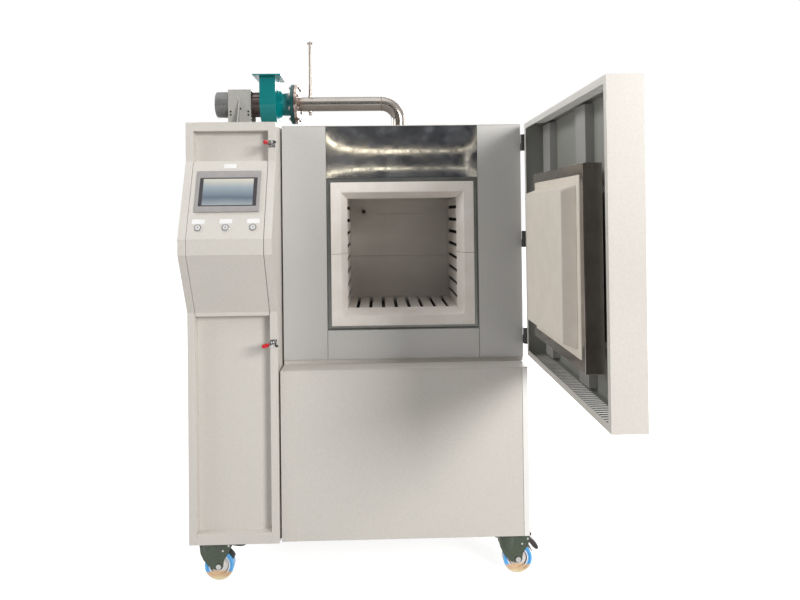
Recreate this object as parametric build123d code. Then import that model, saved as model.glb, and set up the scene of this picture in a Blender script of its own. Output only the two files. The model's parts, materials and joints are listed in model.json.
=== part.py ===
"""Box furnace on casters: steel casing, fibre-lined chamber, swing door, control column, exhaust blower.

Millimetres, Z up. X runs along the front, Y runs from the front to the rear and Z = 0 is the floor.
The model is worked out with X = 0 at the chamber's centre and Y = 0 at the casing's front face, and
every piece is then moved so that the origin is the bottom centre of the whole furnace, door open.
"""
import os
from math import cos, hypot, radians, sin

from build123d import *

# Chamber and its lining
chamber_size = 400.0
chamber_depth = 300.0
chamber_z = 1119.0
mouth_depth = 59.0
mouth_flare = 21.0
mouth_half = 258.0
board_thickness = 50.0
slot_count = 8
slot_pitch = 47.5
slot_width = 12.0
slot_depth = 28.0
element_radius = 4.0
element_end_radius = 8.0
flue_y = 295.0
thermocouple_x = -147.0
thermocouple_z = 1271.0
thermocouple_radius = 8.0
terminal_cover_depth = 48.0
terminal_cover_half = 250.0

# Casing of the hot part
sheet = 2.0
casing_half = 430.0
casing_depth = 590.0
casing_top = 1581.0
front_panel_bottom = 742.0
seam_half = 272.5
seam_gap = 1.2
panel_fold = 14.0
recess_half = 273.0
trim_depth = 12.0

# Lower cabinet and base
base_z = 142.0
ledge_z = 726.0
lower_front = -90.0
lower_right = 425.0
lower_strip = 19.0
frame_tube = 40.0
frame_inside = 4.0

# Control column
column_left = -743.0
column_right = -436.0
column_front = -101.0
column_top = 1583.0
strip_width = 26.0
strip_return = 35.0
top_rail = 30.0
bottom_rail = 37.0
console_nose = -205.0
console_top = 1449.0
nose_top = 1186.0
nose_bottom = 1134.0
console_foot = 932.0
console_lip = 13.0
panel_gap = 1.5
gland_z = 286.0
gland_bore = 8.0

# Operator screen and buttons on the sloping face
screen_bezel_size = (214.0, 150.0)
screen_glass_size = (192.0, 103.0)
screen_bezel_drop = 114.0
screen_glass_drop = 116.5
button_drop = 243.0
button_pitch = 90.0
button_cap_radius = 8.0
button_bezel_radius = 12.5
label_size = (42.0, 16.0)
button_label_drop = 221.0
screen_label_drop = 19.5

# Door, drawn open at 90 degrees
hinge_x = 436.0
hinge_y = -12.0
hinge_pitch = 346.5
hinge_height = 58.0
hinge_radius = 8.0
pin_radius = 4.0
door_inner_x = 439.0
door_thickness = 87.0
door_near_y = -27.0
door_width = 850.0
door_height = 824.0
door_centre_z = 1166.0
door_rim = 19.0
vent_pitch = 18.0
vent_size = (50.0, 8.0)
stiffener_places = (-100.0, -485.0)
stiffener_width = 90.0
stiffener_depth = 25.0
pan_stud_places = (-205.0, -485.0, -690.0)
pan_size = 536.0
pan_depth = 50.0
pan_proud = 7.0
pan_trim = 29.0
plug_base = 432.0
plug_face = 406.0
plug_proud = 39.0

# Toggle clamps on the column's right-hand strip
clamp_offset_z = 341.0
clamp_arm_x = -446.0
clamp_handle_x = -455.0
clamp_pivot_y = -123.0
clamp_reach = 32.0
clamp_pin_radius = 2.0
upper_handle_angle = -100.0
lower_handle_angle = -118.0
clamp_pad_half = 12.0
clamp_arm_width = 7.2
clamp_tip_radius = 4.5
clamp_bar_length = 18.0
clamp_grip_length = 21.0
clamp_grip_radius = 7.0

# Exhaust line and blower
pipe_radius = 28.5
pipe_wall = 2.0
pipe_z = 1707.0
pipe_bend = 70.0
flange_radius = 79.0
flange_thickness = 12.0
flange_face_x = -414.0
gasket_thickness = 3.0
flange_bolt_circle = 134.0
flange_bolt_count = 8
damper_x = -356.0
damper_rod_radius = 6.0
damper_top = 1960.0
volute_x = (-543.0, -481.0)
volute_radius = 102.0
volute_sheet = 3.0
outlet_z = 1806.0
outlet_flange = (108.0, 150.0)
outlet_depth = 104.0
motor_radius = 49.5
motor_tail = -730.0
motor_rear = -675.0
motor_front = -585.0
shaft_radius = 8.0
running_gap = 0.05
impeller_radius = 74.0
blade_count = 10

# Casters
wheel_radius = 50.0
wheel_width = 32.0
hub_radius = 42.0
axle_radius = 6.0
caster_trail = 34.0
caster_inset = 57.0
front_caster_y = -42.0
rear_caster_y = 536.0
right_caster_x = 354.0
caster_plate = (104.0, 80.0, 4.0)
race_radius = 33.0
shoe_pin = (48.5, 103.5)
shoe_radius = (53.0, 56.0)
pedal_pivot = (68.5, 120.5)
pedal_width = 18.0
pedal_leaf = ((0, 4.5), (9, 4.5), (22, 7.5), (38, 8.5), (50, 7.0), (57, 3.0))
pedal_rest = {"front_left": 48.0, "front_right": 0.0}

# Worked-out places
column_centre = (column_left + column_right) / 2
chamber_half = chamber_size / 2
chamber_back = mouth_depth + chamber_depth
door_outer_x = door_inner_x + door_thickness
door_far_y = door_near_y - door_width
rear_y = casing_depth + terminal_cover_depth
frame_front = column_front + strip_return + 1
frame_rear = casing_depth - frame_inside
origin_x = (column_left + door_outer_x) / 2
origin_y = (door_far_y + rear_y) / 2

# The sloping console face: x to the right, y up the slope, z outwards
slope_length = hypot(console_nose - column_front, console_top - nose_top)
slope_up = (0, (column_front - console_nose) / slope_length, (console_top - nose_top) / slope_length)
slope_out = (0, -slope_up[2], slope_up[1])
slope = Plane(origin=(column_centre, column_front, console_top), x_dir=(1, 0, 0), z_dir=slope_out)

out_dir = "parts"
os.makedirs(out_dir, exist_ok=True)


def block(x0, x1, y0, y1, z0, z1):
    """A box between two corners."""
    return Pos((x0 + x1) / 2, (y0 + y1) / 2, (z0 + z1) / 2) * Box(x1 - x0, y1 - y0, z1 - z0)


def rod_x(x0, x1, y, z, radius):
    """A round bar along X."""
    return Pos((x0 + x1) / 2, y, z) * Rot(0, 90, 0) * Cylinder(radius, x1 - x0)


def rod_y(x, y0, y1, z, radius):
    """A round bar along Y."""
    return Pos(x, (y0 + y1) / 2, z) * Rot(90, 0, 0) * Cylinder(radius, y1 - y0)


def rod_z(x, y, z0, z1, radius):
    """A round bar along Z."""
    return Pos(x, y, (z0 + z1) / 2) * Cylinder(radius, z1 - z0)


def prism_x(points, x0, x1):
    """A (y, z) outline pulled along X."""
    outline = Plane.YZ.offset(x0) * make_face(Polyline(*points, close=True))
    return extrude(outline, amount=x1 - x0)


def prism_y(points, y0, y1):
    """An (x, z) outline pulled along Y."""
    outline = Plane.XZ.offset(-y1) * make_face(Polyline(*points, close=True))
    return extrude(outline, amount=y1 - y0)


def spread(count, pitch):
    """Evenly spaced positions about zero."""
    return [(i - (count - 1) / 2) * pitch for i in range(count)]


def save(name, *solids):
    """Move the solids to the shared origin and write them as one sub-part."""
    shift = Pos(-origin_x, -origin_y, 0)
    pieces = [shift * s for solid in solids for s in solid.solids()]
    shape = pieces[0] if len(pieces) == 1 else Compound(pieces)
    export_step(shape, f"{out_dir}/{name}.step")


def caster_places():
    """Name, x, y and brake of each caster."""
    left = column_left + caster_inset
    return (
        ("front_left", left, front_caster_y, True),
        ("front_right", right_caster_x, front_caster_y, True),
        ("rear_left", left, rear_caster_y, False),
        ("rear_right", right_caster_x, rear_caster_y, False),
    )


# Base frame with the caster plates and king pins
def make_base_frame():
    x0, x1 = column_left + frame_inside, lower_right - frame_inside
    y0, y1 = frame_front, frame_rear
    z0, z1 = base_z, base_z + frame_tube
    solids = [block(x0, x1, y0, y0 + frame_tube, z0, z1), block(x0, x1, y1 - frame_tube, y1, z0, z1)]
    cross_tubes = (
        x0,
        column_right - frame_inside - frame_tube,
        -casing_half + frame_inside,
        (-casing_half + x1 - frame_tube) / 2,
        x1 - frame_tube,
    )
    for x in cross_tubes:
        solids.append(block(x, x + frame_tube, y0 + frame_tube, y1 - frame_tube, z0, z1))
    wide, deep, thick = caster_plate
    plate_z = base_z - thick
    for _, x, y, _ in caster_places():
        plate = Pos(x, y, plate_z) * extrude(RectangleRounded(wide, deep, 10), amount=thick)
        plate += rod_z(x, y, plate_z - 4, plate_z, 30)
        plate += rod_z(x, y, plate_z - 26, plate_z - 4, axle_radius)
        plate += rod_z(x, y, plate_z - 29, plate_z - 25, 10)
        for bolt_x in (x - wide / 2 + 10, x + wide / 2 - 10):
            for bolt_y in (y - deep / 2 + 10, y + deep / 2 - 10):
                plate += rod_z(bolt_x, bolt_y, plate_z - 5, plate_z, 6.5)
        solids.append(plate)
    save("base_frame", *solids)


def frame_notches(x0, x1):
    """Room for the frame's front and rear rails where they pass through an inner wall."""
    clear = 0.5
    notches = []
    for y0, y1 in ((frame_front, frame_front + frame_tube), (frame_rear - frame_tube, frame_rear)):
        top = base_z + frame_tube + clear
        notches.append(block(x0 - 1, x1 + 1, y0 - clear, y1 + clear, base_z - 1, top))
    return notches


# Lower cabinet
def make_lower_cabinet():
    top = ledge_z - sheet
    floor_z = base_z + frame_tube
    left_wall = block(-casing_half, -casing_half + sheet, lower_front + sheet, casing_depth, base_z, top)
    left_wall = left_wall - frame_notches(-casing_half, -casing_half + sheet)
    right_wall = block(lower_right - sheet, lower_right, lower_front, casing_depth, base_z, top)
    right_wall += block(
        lower_right - lower_strip, lower_right, lower_front, lower_front + sheet, base_z, top
    )
    rear_wall = block(
        -casing_half + sheet, lower_right - sheet, casing_depth - sheet, casing_depth, base_z, top
    )
    floor = block(
        -casing_half + sheet, lower_right - sheet, lower_front + 22, casing_depth - sheet,
        floor_z, floor_z + sheet,
    )
    ledge = block(-casing_half, lower_right, lower_front, casing_depth - sheet, top, ledge_z)
    save("lower_wall_panels", left_wall, right_wall, rear_wall, floor, ledge)
    cover_right = lower_right - lower_strip - 1.0
    front = block(-casing_half, cover_right, lower_front, lower_front + sheet, base_z, top)
    for x0 in (-casing_half + sheet + 0.5, cover_right - sheet):
        front += block(x0, x0 + sheet, lower_front + sheet, lower_front + 20, base_z + frame_tube + 2, top)
    save("lower_front_cover", front)


# Casing of the hot part
def make_casing():
    wall_top = casing_top - sheet
    left_wall = block(-casing_half, -casing_half + sheet, panel_fold, casing_depth, ledge_z, wall_top)
    right_wall = block(casing_half - sheet, casing_half, panel_fold, casing_depth, ledge_z, wall_top)
    rear_wall = block(
        -casing_half + sheet, casing_half - sheet, casing_depth - sheet, casing_depth, ledge_z, wall_top
    )
    opening_half = terminal_cover_half - 15
    rear_wall -= block(
        -opening_half, opening_half, casing_depth - 5, casing_depth + 5,
        chamber_z - opening_half - 5, chamber_z + opening_half - 20,
    )
    plinth = block(-casing_half, casing_half, 8, 8 + sheet, ledge_z, front_panel_bottom)
    save("casing_wall_panels", left_wall, right_wall, rear_wall, plinth)
    top = block(-casing_half, casing_half, 0, casing_depth, wall_top, casing_top)
    top -= rod_z(0, flue_y, wall_top - 1, casing_top + 1, pipe_radius + 1)
    save("casing_top_panel", top)


def folded_panel(x0, x1, z0, z1):
    """A front sheet whose four edges are folded back."""
    panel = block(x0, x1, 0, panel_fold, z0, z1)
    panel -= block(x0 + sheet, x1 - sheet, sheet, panel_fold + 1, z0 + sheet, z1 - sheet)
    return panel


def make_front():
    half_gap = seam_gap / 2
    top = casing_top - sheet - 0.5
    left = folded_panel(-casing_half, -seam_half - half_gap, front_panel_bottom, top)
    right = folded_panel(seam_half + half_gap, casing_half, front_panel_bottom, top)
    sill_top = chamber_z - recess_half
    sill = folded_panel(-seam_half + half_gap, seam_half - half_gap, front_panel_bottom, sill_top)
    save("front_panels", left, right, sill)
    head_bottom = chamber_z + recess_half
    head = folded_panel(-seam_half + half_gap, seam_half - half_gap, head_bottom, top)
    save("head_panel", head)
    outer = recess_half - 1.0
    inner = mouth_half + 0.5
    trim = block(-outer, outer, sheet, trim_depth + sheet, chamber_z - outer, chamber_z + outer)
    trim -= block(
        -outer + sheet, outer - sheet, 0, trim_depth, chamber_z - outer + sheet, chamber_z + outer - sheet
    )
    trim -= block(-inner, inner, 0, 30, chamber_z - inner, chamber_z + inner)
    save("mouth_trim_frame", trim)


# Fibre boards round the chamber
def square_funnel(half0, y0, half1, y1):
    """A square hollow that narrows from one depth to the next."""
    first = Plane.XZ.offset(-y0) * Pos(0, chamber_z) * Rectangle(2 * half0, 2 * half0)
    second = Plane.XZ.offset(-y1) * Pos(0, chamber_z) * Rectangle(2 * half1, 2 * half1)
    return loft([first, second])


def make_mouth_boards():
    low, high = chamber_z - mouth_half, chamber_z + mouth_half
    ring = block(-mouth_half, mouth_half, 0, mouth_depth, low, high)
    flare_per_mm = mouth_flare / mouth_depth
    ring -= square_funnel(
        chamber_half + mouth_flare + flare_per_mm, -1, chamber_half - flare_per_mm, mouth_depth + 1
    )
    floor_z, roof_z = chamber_z - chamber_half, chamber_z + chamber_half
    ring -= block(-chamber_half, chamber_half, -1, mouth_depth + 1, floor_z, roof_z)
    joint_half = 0.5
    upper = ring & block(-300, 300, -5, 100, chamber_z + joint_half, high + 5)
    lower = ring & block(-300, 300, -5, 100, low - 5, chamber_z - joint_half)
    save("mouth_frame_boards", upper, lower)


def make_chamber_boards():
    outer = chamber_half + board_thickness
    y0, y1 = mouth_depth, chamber_back
    floor_z, roof_z = chamber_z - chamber_half, chamber_z + chamber_half
    hearth = block(-outer, outer, y0, y1, floor_z - board_thickness, floor_z)
    left = block(-outer, -chamber_half, y0, y1, floor_z, roof_z)
    right = block(chamber_half, outer, y0, y1, floor_z, roof_z)
    half = slot_width / 2
    for offset in spread(slot_count, slot_pitch):
        hearth -= block(offset - half, offset + half, y0 - 1, y1 + 1, floor_z - slot_depth, floor_z + 1)
        z = chamber_z + offset
        left -= block(-chamber_half - slot_depth, -chamber_half + 1, y0 - 1, y1 + 1, z - half, z + half)
        right -= block(chamber_half - 1, chamber_half + slot_depth, y0 - 1, y1 + 1, z - half, z + half)
    roof = block(-outer, outer, y0, y1, roof_z, roof_z + board_thickness)
    roof -= rod_z(0, flue_y, roof_z - 1, roof_z + board_thickness + 1, pipe_radius - pipe_wall)
    save("hearth_board", hearth)
    save("chamber_wall_boards", left, right, roof)
    seam_levels = (floor_z - board_thickness, chamber_z - 31, chamber_z + 143, roof_z + board_thickness)
    rear = []
    for z0, z1 in zip(seam_levels, seam_levels[1:]):
        rear.append(block(-outer, outer, y1, y1 + board_thickness, z0 + 0.4, z1 - 0.4))
    holes = rear_holes(y1 + board_thickness)
    save("rear_wall_boards", *[board - holes for board in rear])


def rear_holes(back):
    """Holes for the thermocouple and the heating rods from the chamber's rear wall to a depth."""
    front = chamber_back - 1
    holes = [rod_y(thermocouple_x, front, back + 1, thermocouple_z, thermocouple_radius + 0.2)]
    for x, z in element_places():
        holes.append(rod_y(x, front, back + 1, z, element_radius + 0.5))
    return holes


def make_insulation():
    outer = chamber_half + board_thickness
    side = casing_half - sheet - 1
    terminal_room = 60.0
    y0, y1 = mouth_depth + 2, chamber_back + board_thickness
    back = casing_depth - sheet - terminal_room
    low, high = chamber_z - outer, chamber_z + outer
    bottom, top = ledge_z + 2, casing_top - sheet - 2
    lower = block(-side, side, y0, y1, bottom, low)
    upper = block(-side, side, y0, y1, high, top)
    upper -= rod_z(0, flue_y, high - 1, top + 1, pipe_radius + 0.5)
    left = block(-side, -outer, y0, y1, low, high)
    right = block(outer, side, y0, y1, low, high)
    rear = block(-side, side, y1, back, bottom, top) - rear_holes(back)
    save("backup_insulation", lower, upper, left, right, rear)


# Heating elements, their cover and the thermocouple
def element_places():
    """Cross-section centres of the heating rods in the floor and side slots."""
    depth = chamber_half + slot_depth - element_radius - 4
    places = [(offset, chamber_z - depth) for offset in spread(slot_count, slot_pitch)]
    for side in (-1, 1):
        places += [(side * depth, chamber_z + offset) for offset in spread(slot_count, slot_pitch)]
    return places


def make_elements():
    rods = []
    for x, z in element_places():
        rod = rod_y(x, mouth_depth + 6, casing_depth + 20, z, element_radius)
        rod += rod_y(x, casing_depth + 8, casing_depth + 16, z, element_end_radius)
        rods.append(rod)
    save("heating_elements", *rods)
    y0, y1 = casing_depth, rear_y
    half = terminal_cover_half
    inner = half - sheet
    centre_z = chamber_z - 10
    cover = block(-half, half, y0, y1, centre_z - half, centre_z + half)
    cover -= block(-inner, inner, y0 - 1, y1 - sheet, centre_z - inner, centre_z + inner)
    vent = Box(8, 10, 40)
    for x in spread(14, 32):
        for z in (centre_z - half + 35, centre_z + half - 35):
            cover -= Pos(x, y1, z) * vent
    save("terminal_cover", cover)
    sheath = rod_y(
        thermocouple_x, chamber_back - 26, casing_depth + 8, thermocouple_z, thermocouple_radius
    )
    sheath += rod_y(thermocouple_x, casing_depth + 8, casing_depth + 36, thermocouple_z, 22)
    save("thermocouple", sheath)


# Control column
def column_outline(inset=0.0, rear=None):
    """The column's side outline, its front line moved back by the inset."""
    back = casing_depth if rear is None else rear
    front = column_front + inset
    nose = console_nose + inset
    return [
        (back, base_z), (front, base_z), (front, console_foot), (nose, nose_bottom),
        (nose, nose_top), (front, console_top), (front, column_top), (back, column_top),
    ]


def column_side(x_outer, inward):
    """One side sheet with its front strip and the strip's return."""
    low, high = sorted((x_outer, x_outer + inward * strip_width))
    side = prism_x(column_outline(), low, high)
    wall_low, wall_high = sorted((x_outer + inward * sheet, x_outer + inward * (strip_width - sheet)))
    side -= prism_x(column_outline(sheet, casing_depth + 5), wall_low, wall_high)
    return_low, return_high = sorted((x_outer + inward * sheet, x_outer + inward * (strip_width + 1)))
    side -= prism_x(column_outline(strip_return, casing_depth + 5), return_low, return_high)
    lid_seat = block(
        return_low, return_high, column_front + sheet, casing_depth + 1, column_top - sheet, column_top + 1
    )
    return side - lid_seat


def make_column():
    left = column_side(column_left, 1)
    right = column_side(column_right, -1) - frame_notches(column_right - sheet, column_right)
    save("column_side_panels", left, right)
    x0, x1 = column_left + strip_width, column_right - strip_width
    front, back = column_front, column_front + strip_return
    rail = column_top - top_rail
    upper = block(x0, x1, front, front + sheet, rail, column_top - sheet)
    upper += block(x0, x1, front, back, rail, rail + sheet)
    upper += block(x0, x1, back - sheet, back, console_top - 30, rail + sheet)
    step = base_z + bottom_rail
    lower = block(x0, x1, front, front + sheet, base_z, step)
    lower += block(x0, x1, front, back, step - sheet, step)
    lower += block(x0, x1, back - sheet, back, step - sheet, console_foot + 30)
    save("column_recess_panels", upper, lower)
    inner0, inner1 = column_left + sheet, column_right - sheet
    floor_z = base_z + frame_tube
    floor = block(inner0, inner1, back, casing_depth - sheet, floor_z, floor_z + sheet)
    lid = block(inner0, inner1, front + sheet, casing_depth, column_top - sheet, column_top)
    lid += block(x0, x1, front, front + sheet, column_top - sheet, column_top)
    rear = block(inner0, inner1, casing_depth - sheet, casing_depth, base_z, column_top - sheet)
    rear -= rod_y(column_centre, casing_depth - 5, casing_depth + 5, gland_z, gland_bore + 5)
    save("column_closing_panels", lid, rear, floor)


def on_slope(shape, x, drop, height=0.0):
    """Place a shape on the sloping face, a distance down from its top edge."""
    return slope * Pos(x, -drop, height) * shape


def make_console():
    x0 = column_left + strip_width + panel_gap
    x1 = column_right - strip_width - panel_gap
    back = column_front + strip_return - sheet
    foot = console_foot - console_lip

    def outline(inset, rear):
        front, nose = column_front + inset, console_nose + inset
        return [
            (rear, foot + inset), (front, foot + inset), (front, console_foot), (nose, nose_bottom),
            (nose, nose_top), (front, console_top - inset), (rear, console_top - inset),
        ]

    panel = prism_x(outline(0, back - 0.3), x0, x1) - prism_x(outline(sheet, back + 5), x0 - 1, x1 + 1)
    cutout = Box(screen_glass_size[0] + 4, screen_bezel_size[1] - 14, 20)
    panel -= on_slope(cutout, 0, screen_bezel_drop)
    for x in spread(3, button_pitch):
        panel -= on_slope(Cylinder(button_bezel_radius - 1.3, 20), x, button_drop)
    save("console_panel", panel)


def make_screen():
    wide, tall = screen_bezel_size
    frame = on_slope(Box(wide, tall, 7), 0, screen_bezel_drop, 3.5)
    frame += on_slope(Box(screen_glass_size[0] + 3, tall - 15, 38), 0, screen_bezel_drop, -19)
    glass_wide, glass_tall = screen_glass_size
    frame -= on_slope(Box(glass_wide + 0.4, glass_tall + 0.4, 4), 0, screen_glass_drop, 5.01)
    save("screen_bezel", frame)
    save("screen_glass", on_slope(Box(glass_wide, glass_tall, 3), 0, screen_glass_drop, 4.6))


def make_buttons():
    bezels = []
    for x in spread(3, button_pitch):
        ring = on_slope(Cylinder(button_bezel_radius, 3), x, button_drop, 1.5)
        ring += on_slope(Cylinder(button_bezel_radius - 1.6, 32), x, button_drop, -15)
        ring -= on_slope(Cylinder(button_cap_radius + running_gap, 34), x, button_drop, -8)
        bezels.append(ring)
    save("button_bezels", *bezels)
    for name, x in zip(("left_button", "middle_button", "right_button"), spread(3, button_pitch)):
        cap = on_slope(Cylinder(button_cap_radius, 22), x, button_drop, -6.4)
        save(name, cap)
    plate = Box(*label_size, 1)
    plates = [on_slope(plate, x, button_label_drop, 0.5) for x in spread(3, button_pitch)]
    plates.append(on_slope(plate, 0, screen_label_drop, 0.5))
    save("label_plates", *plates)


def make_electrics():
    plate_y = 300.0
    x0, x1 = column_left + 40, column_right - 40
    plate = block(x0, x1, plate_y, plate_y + 3, 330, 1250)
    for x in (x0 + 15, x1 - 15):
        plate += block(x - 12, x + 12, plate_y + 3, casing_depth - sheet, 330, 354)
        plate += block(x - 12, x + 12, plate_y + 3, casing_depth - sheet, 1226, 1250)
    save("electrical_plate", plate)
    gear = []
    half = 35
    for offset in spread(3, 80):
        x = column_centre + offset
        gear.append(block(x - half, x + half, plate_y - 85, plate_y, 1080, 1170))
        gear.append(block(x - half, x + half, plate_y - 110, plate_y, 820, 930))
    gear.append(block(column_centre - 80, column_centre + 80, plate_y - 70, plate_y, 560, 660))
    floor_z = base_z + frame_tube + sheet
    core = block(column_centre - 90, column_centre + 90, 60, 200, floor_z + 30, floor_z + 210)
    for x in (-45, 45):
        core += block(column_centre + x - 40, column_centre + x + 40, 35, 225, floor_z + 60, floor_z + 180)
    foot = block(column_centre - 120, column_centre + 120, 40, 220, floor_z, floor_z + 30)
    gear.append(core + foot)
    save("switchgear", *gear)
    x, y, z = column_centre, casing_depth, gland_z
    gland = rod_y(x, y - 14, y + 12, z, gland_bore + 4)
    gland += extrude(Plane.XZ.offset(-y) * Pos(x, z) * RegularPolygon(2 * gland_bore, 6), amount=-9)
    gland += rod_y(x, y + 9, y + 30, z, gland_bore + 6)
    gland += rod_y(x, y - 10, y - sheet, z, 2 * gland_bore)
    gland -= rod_y(x, y - 20, y + 40, z, gland_bore)
    save("cable_gland", gland)


# Toggle clamps
def clamp_levels():
    return (
        ("upper", door_centre_z + clamp_offset_z, upper_handle_angle),
        ("lower", door_centre_z - clamp_offset_z, lower_handle_angle),
    )


def make_clamps():
    bases = []
    arm_x, handle_x, pivot_y = clamp_arm_x, clamp_handle_x, clamp_pivot_y
    pin_hole = clamp_pin_radius + running_gap
    half = clamp_arm_width / 2
    for name, z, angle in clamp_levels():
        base = block(
            handle_x - 6, column_right - 1, column_front - 2.5, column_front,
            z - clamp_pad_half, z + clamp_pad_half,
        )
        for z0 in (z - 7, z + 5):
            base += block(handle_x - 5, arm_x + 5, pivot_y - 5, column_front - 2, z0, z0 + 2)
        for x in (arm_x, handle_x):
            base += rod_z(x, pivot_y, z - 8.5, z + 8.5, clamp_pin_radius)
        bases.append(base)

        tip_y = pivot_y - clamp_reach
        arm = block(arm_x - half, arm_x + half, tip_y - 6, pivot_y, z - 4, z + 4)
        arm += rod_z(arm_x, pivot_y, z - 4, z + 4, 4)
        arm -= rod_z(arm_x, pivot_y, z - 5, z + 5, pin_hole)
        arm += rod_x(arm_x - 5.5, arm_x + 12, tip_y, z, 2.5)
        arm += rod_x(arm_x + half, arm_x + 7, tip_y, z, clamp_tip_radius)
        tip = rod_x(arm_x + 12, arm_x + 16, tip_y, z, clamp_tip_radius)
        tip += Pos(arm_x + 16, tip_y, z) * Sphere(clamp_tip_radius)
        save(f"{name}_clamp_arm", arm, tip)

        turn = Pos(handle_x, pivot_y, z) * Rot(0, 0, angle)
        bar = block(0, clamp_bar_length, -3.2, 3.2, -4, 4) + rod_z(0, 0, -4, 4, 4)
        bar -= rod_z(0, 0, -5, 5, pin_hole)
        grip_end = clamp_bar_length + clamp_grip_length
        grip = rod_x(clamp_bar_length, grip_end, 0, 0, clamp_grip_radius)
        grip += Pos(grip_end, 0, 0) * Sphere(clamp_grip_radius)
        save(f"{name}_clamp_handle", turn * bar, turn * grip)
    save("clamp_bases", *bases)


# Door
def make_door():
    z0, z1 = door_centre_z - door_height / 2, door_centre_z + door_height / 2
    x0, x1 = door_inner_x, door_outer_x
    y0, y1 = door_far_y, door_near_y
    shell = block(x0, x1, y0, y1, z0, z1)
    shell -= block(x0 + sheet, x1 - sheet, y0 + sheet, y1 - sheet, z0 + sheet, z1 - sheet)
    shell -= block(x0 - 1, x0 + sheet + 1, y0 + door_rim, y1 - door_rim, z0 + door_rim, z1 - door_rim)
    middle_x = (x0 + x1) / 2
    middle_y = (y0 + y1) / 2
    vents = [
        Pos(middle_x, middle_y + offset, z) * Box(vent_size[0], vent_size[1], 3 * sheet)
        for offset in spread(int((door_width - 60) / vent_pitch), vent_pitch)
        for z in (z0 + sheet / 2, z1 - sheet / 2)
    ]
    shell = shell - vents
    save("door_shell", shell)

    face = x1 - sheet - stiffener_depth
    stiffeners = []
    half = stiffener_width / 2
    for y in stiffener_places:
        hat = block(face, x1 - sheet, y - half, y + half, z0 + 12, z1 - 12)
        hat -= block(face + sheet, x1, y - half + sheet, y + half - sheet, z0, z1)
        stiffeners.append(hat)
    pan_y = hinge_y - hinge_x
    pan_back = door_inner_x - pan_proud + pan_depth
    for y in pan_stud_places:
        reach = face if y in stiffener_places else x1 - sheet
        for z in (chamber_z - 200, chamber_z + 200):
            stiffeners.append(rod_x(pan_back, reach, y, z, 9))
    save("door_stiffeners", *stiffeners)

    half = pan_size / 2
    pan_front = door_inner_x - pan_proud
    pan = block(pan_front, pan_back, pan_y - half, pan_y + half, chamber_z - half, chamber_z + half)
    pan -= block(
        pan_front + sheet, pan_back - sheet, pan_y - half + sheet, pan_y + half - sheet,
        chamber_z - half + sheet, chamber_z + half - sheet,
    )
    mouth = half - pan_trim
    pan -= block(
        pan_front - 1, pan_front + 5, pan_y - mouth, pan_y + mouth,
        chamber_z - mouth, chamber_z + mouth,
    )
    save("plug_pan", pan)

    inner = half - sheet - 0.3
    board = block(
        pan_front + sheet + 0.3, pan_back - sheet - 0.3, pan_y - inner, pan_y + inner,
        chamber_z - inner, chamber_z + inner,
    )
    lip = mouth - 0.5
    board += block(pan_front - 2, pan_front + 5, pan_y - lip, pan_y + lip, chamber_z - lip, chamber_z + lip)
    base_x = pan_front - 2
    face_x = pan_front - plug_proud
    outlines = []
    for x, size in ((face_x, plug_face), (base_x, plug_base)):
        outlines.append(Plane.YZ.offset(x) * Pos(pan_y, chamber_z) * RectangleRounded(size, size, 8))
    save("plug_boards", board, loft(outlines))


def make_hinges():
    body_halves, door_halves = [], []
    half = hinge_height / 2
    for offset in spread(3, hinge_pitch):
        z = door_centre_z + offset
        lower = rod_z(hinge_x, hinge_y, z - half, z - 0.3, hinge_radius)
        lower += rod_z(hinge_x, hinge_y, z - 1, z + half - 3, pin_radius)
        lower += block(casing_half, casing_half + 4, hinge_y, 34, z - half, z - 0.3)
        body_halves.append(lower)
        upper = rod_z(hinge_x, hinge_y, z, z + half, hinge_radius)
        upper += block(hinge_x, door_inner_x + 8, door_near_y, hinge_y - 2, z, z + half)
        upper -= rod_z(hinge_x, hinge_y, z - 1, z + half - 2, pin_radius + running_gap)
        door_halves.append(upper)
    save("body_hinge_halves", *body_halves)
    save("door_hinge_halves", *door_halves)


# Exhaust pipe, damper and flange joint
def flange_bolt_holes(x0, x1):
    """Rods through the flange bolt positions."""
    rods = []
    for i in range(flange_bolt_count):
        angle = radians((i + 0.5) * 360 / flange_bolt_count)
        y = flue_y + flange_bolt_circle / 2 * cos(angle)
        z = pipe_z + flange_bolt_circle / 2 * sin(angle)
        rods.append(rod_x(x0, x1, y, z, 4.5))
    return rods


def pipe_solid(radius, start_x, end_z):
    """The pipe's run: along X, round the bend, then down into the chamber roof."""
    run = rod_x(start_x, -pipe_bend, flue_y, pipe_z, radius)
    leg = rod_z(0, flue_y, end_z, pipe_z - pipe_bend, radius)
    section = Plane.YZ.offset(-pipe_bend) * Pos(flue_y, pipe_z) * Circle(radius)
    turn_axis = Axis((-pipe_bend, flue_y, pipe_z - pipe_bend), (0, 1, 0))
    elbow = revolve(section, axis=turn_axis, revolution_arc=90)
    return run + elbow + leg


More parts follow.
